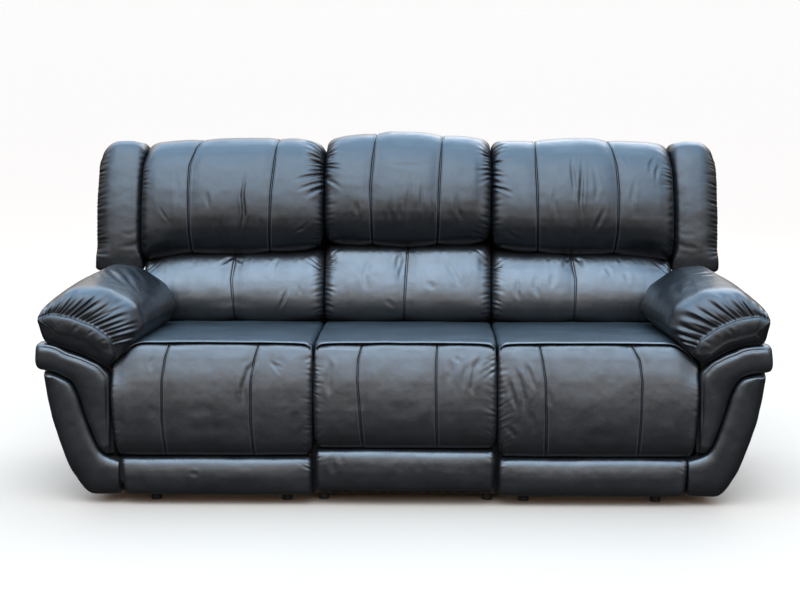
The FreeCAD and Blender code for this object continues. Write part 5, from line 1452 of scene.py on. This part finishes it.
def ribbon(name, A, B, face, back, depth, power, skew, n, m, side, material, ends=(10.0, 10.0), feature=None, rim=20.0):
    """A padded band between two edge lines (x, z): puffed forward between them, flat behind."""
    A, B = curve(A, n), curve(B, n)
    q = 0.5 - 0.5 * np.cos(np.pi * np.linspace(0, 1, m))
    mid = (A + B) / 2
    run = np.concatenate([[0], np.cumsum(np.linalg.norm(np.diff(mid, axis=0), axis=1))])
    da, db = np.clip(run, 0, ends[0]), np.clip(run[-1] - run, 0, ends[1])
    ea = np.sqrt(np.clip(1 - (1 - da / ends[0]) ** 2, 0.0, 1)) if ends[0] > 0 else 1
    eb = np.sqrt(np.clip(1 - (1 - db / ends[1]) ** 2, 0.0, 1)) if ends[1] > 0 else 1
    e = np.clip(ea * eb, 0.06, 1)
    width = np.linalg.norm(B - A, axis=1)
    front = []
    for k in q:
        front.append(A + (B - A) * k)
    front = np.stack(front, 1)
    s = q**skew
    prof = np.clip(1 - np.abs(2 * s - 1) ** power, 0, 1) ** (1 / power)
    dep = depth * np.minimum(1, (width / 40.0)) ** 0.6
    F = back - rim * e[:, None] - ((back - face - rim) * (dep / depth) * e)[:, None] * prof[None]
    back_pts = front[:, ::-1][:, 1:-1][:, ::3]
    P = np.concatenate([upright(front[..., 0], F, front[..., 1]),
                        upright(B[:, None, 0], np.full((n, 1), back + 0.0), B[:, None, 1]),
                        upright(back_pts[..., 0], np.full(back_pts.shape[:2], back), back_pts[..., 1]),
                        upright(A[:, None, 0], np.full((n, 1), back + 0.0), A[:, None, 1])], 1)
    ns = P.shape[1]
    g = Grid(P, run, np.arange(ns), 0, n - 1)
    g.q, g.run, g.width, g.m = q, run, width, m
    if feature is not None:
        h = np.zeros((n, ns))
        h[:, :m] = feature(run[:, None] + 0 * q[None], width[:, None] * q[None], width[:, None] * (1 - q[None]), front[..., 0], front[..., 1])
        g.push(h)
    ob = g.mesh(name, material, side)
    return g, ob


def arm_cap(L, side):
    A = [(1083, 458), (1076, 480), (1056, 488), (1022, 487), (990, 484), (965, 477.5), (940, 468), (918, 456), (901, 446), (886, 428), (875, 402), (872.5, 360), (872, 300), (872, 240), (872, 195), (872, 158)]
    B = [(1083.5, 448), (1083, 424), (1073, 408), (1050, 403), (1025, 399), (1002, 393), (986, 384), (975, 370), (967, 352), (961, 338.5), (952, 307), (944, 276), (932, 241), (921, 210), (908, 180.5), (888, 158)]

    def feature(run, da, db, x, z):
        h = -1.9 * bell(da - 11, 1.8) - 1.2 * bell(da - 11, 7) + 1.2 * bell(da - 5, 4)
        h = h - 0.7 * bell(da - 15.5, 1.1)
        h = h * sstep(8, 30, run) * (1 - sstep(300, 380, run))
        h = h + 1.2 * fbm(x / 70, z / 70, 701) + 0.5 * fbm(x / 26, z / 60, 703)
        return h

    A, B = [fit(side, *p) for p in A], [fit(side, *p) for p in B]
    g, ob = ribbon(L + "arm_cap_front", A, B, 9, 62, 42, 2.8, 0.9, 190, 48, side, M_PAD, (20, 8), feature, 22)
    finish_piece(ob, "root", [L + "arm_cap"])
    # topstitch rows just under the upper edge
    lines = []
    rows = range(14, 132)
    for off in (8.4, 14.0):
        pts, nor = [], []
        for i in rows:
            k = np.interp(off / g.width[i], g.q, np.arange(g.m))
            j = int(k)
            t = k - j
            pts.append(g.P[i, j] * (1 - t) + g.P[i, j + 1] * t)
            nor.append(g.N[i, j])
        lines.append((np.array(pts), np.array(nor)))
    ob2 = stitches(L + "arm_cap_stitching", lines, side=side, radius=0.55)
    finish_piece(ob2, "root", ())
    # side rail
    secs = [
        (46, [(1003, 486), (1003, 401), (1050, 401), (1071, 409), (1080, 428), (1080.5, 452), (1074, 474), (1056, 486.5)]),
        (520, [(1003, 486), (1003, 401), (1048, 401), (1063, 409), (1069.5, 428), (1070, 452), (1063, 474), (1047, 486.5)]),
        (778, [(1003, 486), (1003, 401), (1026, 401), (1036, 409), (1042.5, 428), (1043, 452), (1037, 474), (1024, 486.5)]),
    ]
    fs = np.array([f for f, _ in secs], float)
    loops = soften(dense([p for _, p in secs]), 6)
    ids = pick(loops[0], lambda p: 3.4 if p[0] > 1012 else 9)
    loops = loops[:, ids]
    arc = np.concatenate([[0], np.cumsum(np.linalg.norm(np.diff(soften(dense([secs[0][1]]), 6)[0], axis=0), axis=1))])[ids]
    a = np.array(sorted(set(list(46 + 14 * (1 - np.cos(np.linspace(0, math.pi / 2, 7)))) + list(np.arange(64, 765, 5.0)) + [61, 62, 63] + list(779 - 14 * (1 - np.sin(np.linspace(0, math.pi / 2, 7)))))))
    t = np.interp(a, fs, [0, 1, 2])
    i = np.clip(t.astype(int), 0, 1)
    Q = loops[i] * (1 - (t - i))[:, None, None] + loops[i + 1] * (t - i)[:, None, None]
    skel = [(1015, 430), (1015, 458)]
    ins = edge(a - 46, 14.0) + edge(np.clip(779 - a, 0, None), 14.0)
    for n in range(len(a)):
        if ins[n] > 0:
            T = nearest(Q[n], skel)
            D = T - Q[n]
            d = np.linalg.norm(D, axis=1, keepdims=True)
            Q[n] += D / d * np.minimum(ins[n], 0.7 * d)
    P = upright(Q[..., 0], np.repeat(a[:, None], Q.shape[1], 1), Q[..., 1])
    g = Grid(P, a, arc, 0, len(a) - 1)
    U, S = np.repeat(a[:, None], len(arc), 1), np.repeat(arc[None], len(a), 0)
    z = Q[..., 1]
    out = sstep(1010, 1030, Q[..., 0])
    h = (1.0 * fbm(U / 90, S / 60, 711) + 0.4 * fbm(U / 30, S / 30, 713)) * out
    h += (-2.0 * bell(U - 62, 2.0) - 1.2 * bell(U - 62, 9)) * out
    top = 486.5
    h += (-1.8 * bell(z - (top - 13), 1.8) - 0.8 * bell(z - (top - 13), 6)) * (Q[..., 0] > 1030) * sstep(52, 66, U)
    g.push(h)
    ob = g.mesh(L + "arm_cap_rail", M_SIDE, side)
    finish_piece(ob, "root", ())
    lines = []
    for zz in (top - 16.5,):
        pts, nor = [], []
        for n in range(12, len(a) - 6):
            idx = np.where(Q[n][:, 0] > 1028)[0]
            j = idx[np.argmin(np.abs(Q[n][idx, 1] - zz))]
            pts.append(g.P[n, j])
            nor.append(g.N[n, j])
        pts = np.array(pts)
        k = np.ones(9) / 9
        for c in (0, 2):
            pp = np.pad(pts[:, c], 4, mode="edge")
            pts[:, c] = np.convolve(pp, k, mode="valid")
        lines.append((pts, np.array(nor)))
    ob2 = stitches(L + "arm_rail_stitching", lines, side=side)
    finish_piece(ob2, "root", ())


def arm_bolster(L, side):
    BOL = 849 if side < 0 else 842
    A = [(1050, 400.5), (1020, 395), (998, 389), (984, 379), (974, 366), (967, 350), (961, 336), (953, 306), (944.5, 275), (936, 247), (928, 223), (919, 199), (910, 180), (900, 166), (888, 156), (868, 147), (BOL, 141)]
    B = [(1062, 401), (1062, 385), (1060, 366), (1057, 342), (1053, 315), (1048, 290), (1040, 252), (1029, 215), (1018, 178), (1004, 140), (991, 107), (975, 78), (960, 54), (944, 36), (926, 27), (888, 27), (BOL, 29)]

    def feature(run, da, db, x, z):
        h = 1.0 * fbm(x / 60, z / 80, 721) + 0.5 * fbm(x / 24, z / 60, 723)
        # gathers round the turned-in foot
        h = h - 1.3 * bell(db - 12, 2.0) * sstep(30, 60, run)
        return h

    A, B = [fit(side, *p) for p in A], [fit(side, *p) for p in B]
    g, ob = ribbon(L + "arm_bolster_cover", A, B, 7, 61.5, 43, 2.5, 0.76, 170, 52, side, M_PAD, (12, 4), feature, 22)
    finish_piece(ob, "root", [L + "arm_front_bolster"])


SIDE_CURVE = [(908, 33), (921, 31.5), (940, 41), (957, 61), (971, 84), (987, 112), (1001, 143), (1014, 180), (1024, 214), (1036, 262), (1046, 325), (1051, 362), (1053, 400)]


def arm_side(L, side):
    """The padded outside of the arm, with a hole round the release cup, and the panel that closes the rear."""
    outer = curve(SIDE_CURVE, 110)
    hidden = [(1004, 397), (990, 340), (960, 230), (925, 95), (909, 48)]
    m = len(outer)
    a = np.array(sorted(set(list(63.5 + 7 * (1 - np.cos(np.linspace(0, math.pi / 2, 6)))) + list(np.arange(73, 340, 6.0)) + list(np.arange(340, 524, 2.4)) + list(np.arange(524, 758, 6.0)) + list(766 - 8 * (1 - np.sin(np.linspace(0, math.pi / 2, 6)))))))
    taper = np.interp(a, [63, 520, 766], [0, 0, 24])
    rows = []
    for t in taper:
        o = outer.copy()
        o[:, 0] -= t * sstep(945, 985, outer[:, 0])
        rows.append(np.concatenate([o, np.array(hidden)]))
    Q = np.array(rows)
    ins = edge(a - 63.5, 7.0) + edge(np.clip(766 - a, 0, None), 8.0)
    nrm = np.zeros((m, 2))
    tang = np.gradient(outer, axis=0)
    nrm[:, 0], nrm[:, 1] = -tang[:, 1], tang[:, 0]
    nrm /= np.linalg.norm(nrm, axis=1, keepdims=True)
    if (nrm[:, 0] > 0).mean() > 0.5:
        nrm *= -1
    Q[:, :m] += nrm[None] * ins[:, None, None]
    P = upright(Q[..., 0], np.repeat(a[:, None], Q.shape[1], 1), Q[..., 1])
    arc = np.concatenate([[0], np.cumsum(np.linalg.norm(np.diff(outer, axis=0), axis=1))])
    s = np.concatenate([arc, arc[-1] + np.arange(1, len(hidden) + 1)])
    g = Grid(P, a, s, 0, len(a) - 1)
    U = np.repeat(a[:, None], len(s), 1)
    S = np.repeat(s[None], len(a), 0)
    shown = (np.arange(len(s)) < m).astype(float)[None]
    Zc = Q[..., 1]
    # seat of the release cup: pulled flat round its flange
    cup = np.maximum(np.abs(U - 430) / 86.0, np.abs(Zc - 270) / 52.0)
    near = 1 - sstep(0.98, 1.30, cup)
    h = (1.7 * fbm(U / 130, S / 95, 731) + 0.6 * fbm(U / 42, S / 36, 733) + 2.2 * np.sin(np.pi * np.clip((U - 63) / 703, 0, 1)) ** 0.5) * shown
    h = h * (1 - near) - 1.2 * near * shown
    # hem at the floor edge and a welt line beside the front edge
    h += (-1.6 * bell(S - 34, 1.7) - 0.8 * bell(S - 34, 6)) * shown
    h += (-1.6 * bell(U - 78, 1.7) - 0.8 * bell(U - 78, 6)) * shown
    g.push(h)
    # leave the cup's well open: drop the faces inside its flange
    ob = g.mesh(L + "arm_side_cover", M_SIDE, side)
    finish_piece(ob, "root", [L + "arm_side_panel"])
    me = ob.data
    bm = bmesh.new()
    bm.from_mesh(me)
    dead = []
    for f in bm.faces:
        c = f.calc_center_median()
        fy, z = c.y * 1000 + HALF_D, c.z * 1000
        if abs(c.x) * 1000 > 985 and abs(fy - 430) < 70 and abs(z - 270.5) < 34.5 and len(f.verts) == 4:
            dead.append(f)
    bmesh.ops.delete(bm, geom=dead, context="FACES")
    bm.to_mesh(me)
    bm.free()
    lines = []
    for ss in (39.0,):
        us = np.linspace(84, 758, 300)
        lines.append(g.at(us, np.full(300, ss)))
    sv = np.linspace(40, arc[-1] - 6, 160)
    lines.append(g.at(np.full(160, 82.5), sv))
    ob2 = stitches(L + "arm_side_stitching", lines, pitch=7, side=side)
    finish_piece(ob2, "root", ())
    # rear panel of the arm
    taper_pts = [(x - 24 * float(sstep(945, 985, x)), z) for x, z in SIDE_CURVE[1:]]
    out = [(910, 41)] + taper_pts + [(1014, 402), (1022, 486), (990, 486), (940, 468), (903, 446), (876, 431), (876, 41)]
    out = [(910, 41)] + taper_pts + [(1004, 400), (1003, 484), (988, 484), (940, 467), (903, 446), (876, 431), (876, 41)]

    def extra(p, rows_):
        q = p.copy()
        shown_ = p[..., 2] > 776
        q[..., 2] += np.where(shown_, 1.2 * fbm(p[..., 0] / 60, p[..., 1] / 80, 741), 0)
        return q

    tw = lambda p: upright(p[..., 0], p[..., 2], p[..., 1])
    g2 = slab(L + "arm_rear", out, 766.5, 777.5, 5, 2.0, tw, M_SIDE, side, 4, [(900, 90), (935, 250), (950, 420)], extra, 5.0, rows=(8, 10.5, 11.5, 12.5, 14))
    ob3 = g2.mesh(L + "arm_rear_cover", M_SIDE, side)
    finish_piece(ob3, "root", ())


# ------------------------------------------------------------------ build
for key, side in (("left", -1), ("right", 1)):
    L = key + "_"
    S, T = 320, 698
    if key == "left":
        us = [440, 705]
        ub = [seam_bend(S, T, [9, 8, 4, -4, -9, -15]), seam_bend(S, T, [-2, 3, 8, 7, -12, -30])]
        lb = bend_v([(80, -6), (160, 0), (230, 6), (316, -2)])
        ls = 566
        ps = [443, 711]
        pb = [lambda C: np.interp(C[:, 1], [145, 260, 380, 440, 486], [5, 13, 13, 3, -11]), lambda C: np.interp(C[:, 1], [145, 260, 380, 440, 486], [-1, 8, 8, 0, -14])]
    else:
        us = [418, 675]
        ub = [seam_bend(S, T, [3, 2, 0, -3, -4, -4]), seam_bend(S, T, [-6, 2, 6, 1, -12, -24])]
        lb = bend_v([(80, 0), (160, 3), (230, 5), (316, -7)])
        ls = 538
        ps = [409, 686]
        pb = [lambda C: np.interp(C[:, 1], [145, 260, 380, 440, 486], [8, 8, 5, -4, -14]), lambda C: np.interp(C[:, 1], [145, 260, 380, 440, 486], [3, 9, 12, 5, -22])]
    out = 866 if side < 0 else 859
    upper_cushion(key, L, L + "back", 274, out, S, T, us, ub, side)
    lumbar_cushion(key, L, L + "back", 274, min(out, 862), S, ls, lb, side)
    wing(L, L + "back", side, key, out + 2, 1024 if side < 0 else 1012)
    panel = [(271.6, -58), (870, -58), (870, 333), (1007, 333), (1007, 636), (970, 667), (857, 667), (271.6, 667)]
    back_panel(L, L + "back", side, 275, 1008, panel, key)
    seat_cover(L, L + "seat", side, 274, 868 if side < 0 else 860, key, 66)
    front_pad(L, L + "footrest", [L + "footrest_pad"], side, 274, 871 if side < 0 else 866, key, 147, ps, pb)
    lower_band(L, L + "footrest", L + "footrest_lower_pad", side, 277, 845 if side < 0 else 838, key, 29, 146)
    g, ob = bridge(L + "seat_bridge", side, 276, 856, None)
    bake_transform(ob)
    arm_pad(L, side)
    arm_cap(L, side)
    arm_bolster(L, side)
    arm_side(L, side)

S, T = 338, 716
upper_cushion("centre", "centre_", "root", -270, 270, S, T, [-115, 104],
              [seam_bend(S, T, [0, -2, -6, 0, 6, 12]), seam_bend(S, T, [-9, -6, -3, 2, 6, 9])], 0)
lumbar_cushion("centre", "centre_", "root", -270, 270, S, -7, bend_v([(80, -5), (160, -3), (240, 1), (334, 6)]), 0)
back_panel("centre_", "root", 0, -269, 269, [(-270, -260), (270, -260), (270, 685), (-270, 685)], "centre")
seat_cover("centre_", "root", 0, -270, 270, "centre", 66)
front_pad("centre_", "root", ["centre_seat_cushion"], 0, -270, 270, "centre", 171, [-133, 94],
          [lambda C: np.interp(C[:, 1], [173, 260, 380, 440, 486], [9, 2, -8, -6, 7]), lambda C: np.interp(C[:, 1], [173, 260, 380, 440, 486], [1, -1, -3, -2, 1])])
lower_band("centre_", "root", "centre_lower_pad", 0, -267, 267, "centre", 44, 171)
g, ob = bridge("centre_seat_bridge", 0, -268, 268, None)
finish_piece(ob, "root", ())


# ------------------------------------------------------------------ finishes on the carried-over parts
def paint(node_name, material):
    ob = frame["nodes"].get(node_name)
    if ob is None:
        return
    ob.data.materials.clear()
    ob.data.materials.append(material)
    for p in ob.data.polygons:
        p.material_index = 0


for key in ("left_", "right_"):
    for n, m in (("arm_frame", M_WOOD), ("seat_frame", M_WOOD), ("back_frame", M_WOOD), ("footrest_board", M_BLACK), ("release_handle", M_PLASTIC),
                 ("handle_bezel", M_PLASTIC), ("release_cable", M_SHEATH), ("base_frame", M_BLACK), ("seat_springs", M_SPRING),
                 ("seat_side_plates", M_BLACK), ("back_brackets", M_BLACK), ("extension_arms", M_ZINC), ("rear_links", M_ZINC), ("front_links", M_ZINC)):
        paint(key + n, m)
paint("centre_base", M_WOOD)
paint("centre_back_frame", M_WOOD)
paint("centre_seat_springs", M_SPRING)
paint("feet", M_FOOT)
paint("bolts", M_ZINC)


# ------------------------------------------------------------------ stage, light and camera
def stage():
    s = 400.0
    verts = [(-s, -s, 0), (s, -s, 0), (s, s, 0), (-s, s, 0)]
    me = bpy.data.meshes.new("floor")
    me.from_pydata(verts, [], [(0, 1, 2, 3)])
    floor = bpy.data.objects.new("floor", me)
    bpy.context.scene.collection.objects.link(floor)
    m, nt, b = new_material("floor_pale")
    n = scaled_noise(nt, 1.3, 2)
    r = ramp(nt, n.outputs[0], [(0.3, (0.405, 0.305, 0.233)), (0.7, (0.413, 0.311, 0.238))])
    place = nt.nodes.new("ShaderNodeNewGeometry")
    xyz = nt.nodes.new("ShaderNodeSeparateXYZ")
    nt.links.new(place.outputs["Position"], xyz.inputs[0])
    away = nt.nodes.new("ShaderNodeMapRange")
    for k, v in zip((1, 2, 3, 4), (0.8, 5.0, 0.0, 1.0)):
        away.inputs[k].default_value = v
    nt.links.new(xyz.outputs["Y"], away.inputs[0])
    tone = nt.nodes.new("ShaderNodeMix")
    tone.data_type = "RGBA"
    nt.links.new(away.outputs[0], tone.inputs[0])
    nt.links.new(r.outputs[0], tone.inputs[6])
    tone.inputs[7].default_value = (0.450, 0.312, 0.228, 1)
    nt.links.new(tone.outputs[2], b.inputs["Base Color"])
    b.inputs["Roughness"].default_value = 0.9
    b.inputs["Specular IOR Level"].default_value = 0.1
    me.materials.append(m)
    floor.visible_glossy = False
    floor.visible_diffuse = False

    w = bpy.data.worlds.new("studio")
    bpy.context.scene.world = w
    w.use_nodes = True
    nt = w.node_tree
    nt.nodes.clear()
    out = nt.nodes.new("ShaderNodeOutputWorld")
    bg = nt.nodes.new("ShaderNodeBackground")
    seen = nt.nodes.new("ShaderNodeBackground")
    mix = nt.nodes.new("ShaderNodeMixShader")
    path = nt.nodes.new("ShaderNodeLightPath")
    c = nt.nodes.new("ShaderNodeTexCoord")
    sep = nt.nodes.new("ShaderNodeSeparateXYZ")
    nt.links.new(c.outputs["Generated"], sep.inputs[0])
    r = nt.nodes.new("ShaderNodeValToRGB")
    e = r.color_ramp.elements
    stops = [(0.0, (0.010, 0.010, 0.011)), (0.50, (0.020, 0.019, 0.019)), (0.575, (0.085, 0.074, 0.064)), (0.645, (0.30, 0.26, 0.22)), (0.71, (0.42, 0.39, 0.37)), (0.79, (0.42, 0.57, 0.76)), (1.0, (0.44, 0.72, 1.05))]
    while len(e) < len(stops):
        e.new(0.5)
    for x, (p, col) in zip(e, stops):
        x.position = p
        x.color = (*col, 1)
    half = nt.nodes.new("ShaderNodeMapRange")
    for k, v in zip((1, 2, 3, 4), (-1, 1, 0, 1)):
        half.inputs[k].default_value = v
    nt.links.new(sep.outputs["Z"], half.inputs[0])
    nt.links.new(half.outputs[0], r.inputs[0])
    nt.links.new(r.outputs[0], bg.inputs[0])
    across = nt.nodes.new("ShaderNodeMath")
    across.operation = "ABSOLUTE"
    nt.links.new(sep.outputs["X"], across.inputs[0])
    dim = nt.nodes.new("ShaderNodeMapRange")
    for k, v in zip((1, 2, 3, 4), (0.40, 0.88, 6.2, 2.4)):
        dim.inputs[k].default_value = v
    nt.links.new(across.outputs[0], dim.inputs[0])
    nt.links.new(dim.outputs[0], bg.inputs[1])
    seen.inputs[0].default_value = (0.973, 0.973, 0.965, 1)
    seen.inputs[1].default_value = 1.0
    nt.links.new(path.outputs["Is Camera Ray"], mix.inputs[0])
    nt.links.new(bg.outputs[0], mix.inputs[1])
    nt.links.new(seen.outputs[0], mix.inputs[2])
    nt.links.new(mix.outputs[0], out.inputs[0])

    def area(name, at, towards, size, power, colour, glossy=True):
        d = bpy.data.lights.new(name, "AREA")
        d.shape = "RECTANGLE"
        d.size, d.size_y = size
        d.energy = power
        d.color = colour
        o = bpy.data.objects.new(name, d)
        o.location = at
        o.rotation_euler = (Vector(towards) - Vector(at)).to_track_quat("-Z", "Y").to_euler()
        bpy.context.scene.collection.objects.link(o)
        o.visible_glossy = glossy
        return o

    area("key_soft", (-0.6, -2.2, 4.4), (0, 0, 0.4), (5.0, 3.0), 120, (0.90, 0.95, 1.0))
    area("rear_soft", (1.5, 3.4, 3.6), (0, 0.2, 0.5), (4.0, 2.5), 90, (0.9, 0.95, 1.0))


stage()

cam = bpy.data.cameras.new("camera")
cam.sensor_width = 36
cam.lens = 1772.85 / 800 * 36
co = bpy.data.objects.new("camera", cam)
co.location = (0.077, -5.095 - HALF_D / 1000, 1.486)
co.rotation_euler = (math.radians(90 - 9.6), 0, math.radians(1.03))
bpy.context.scene.collection.objects.link(co)
bpy.context.scene.camera = co
bpy.context.scene.view_settings.view_transform = "Standard"
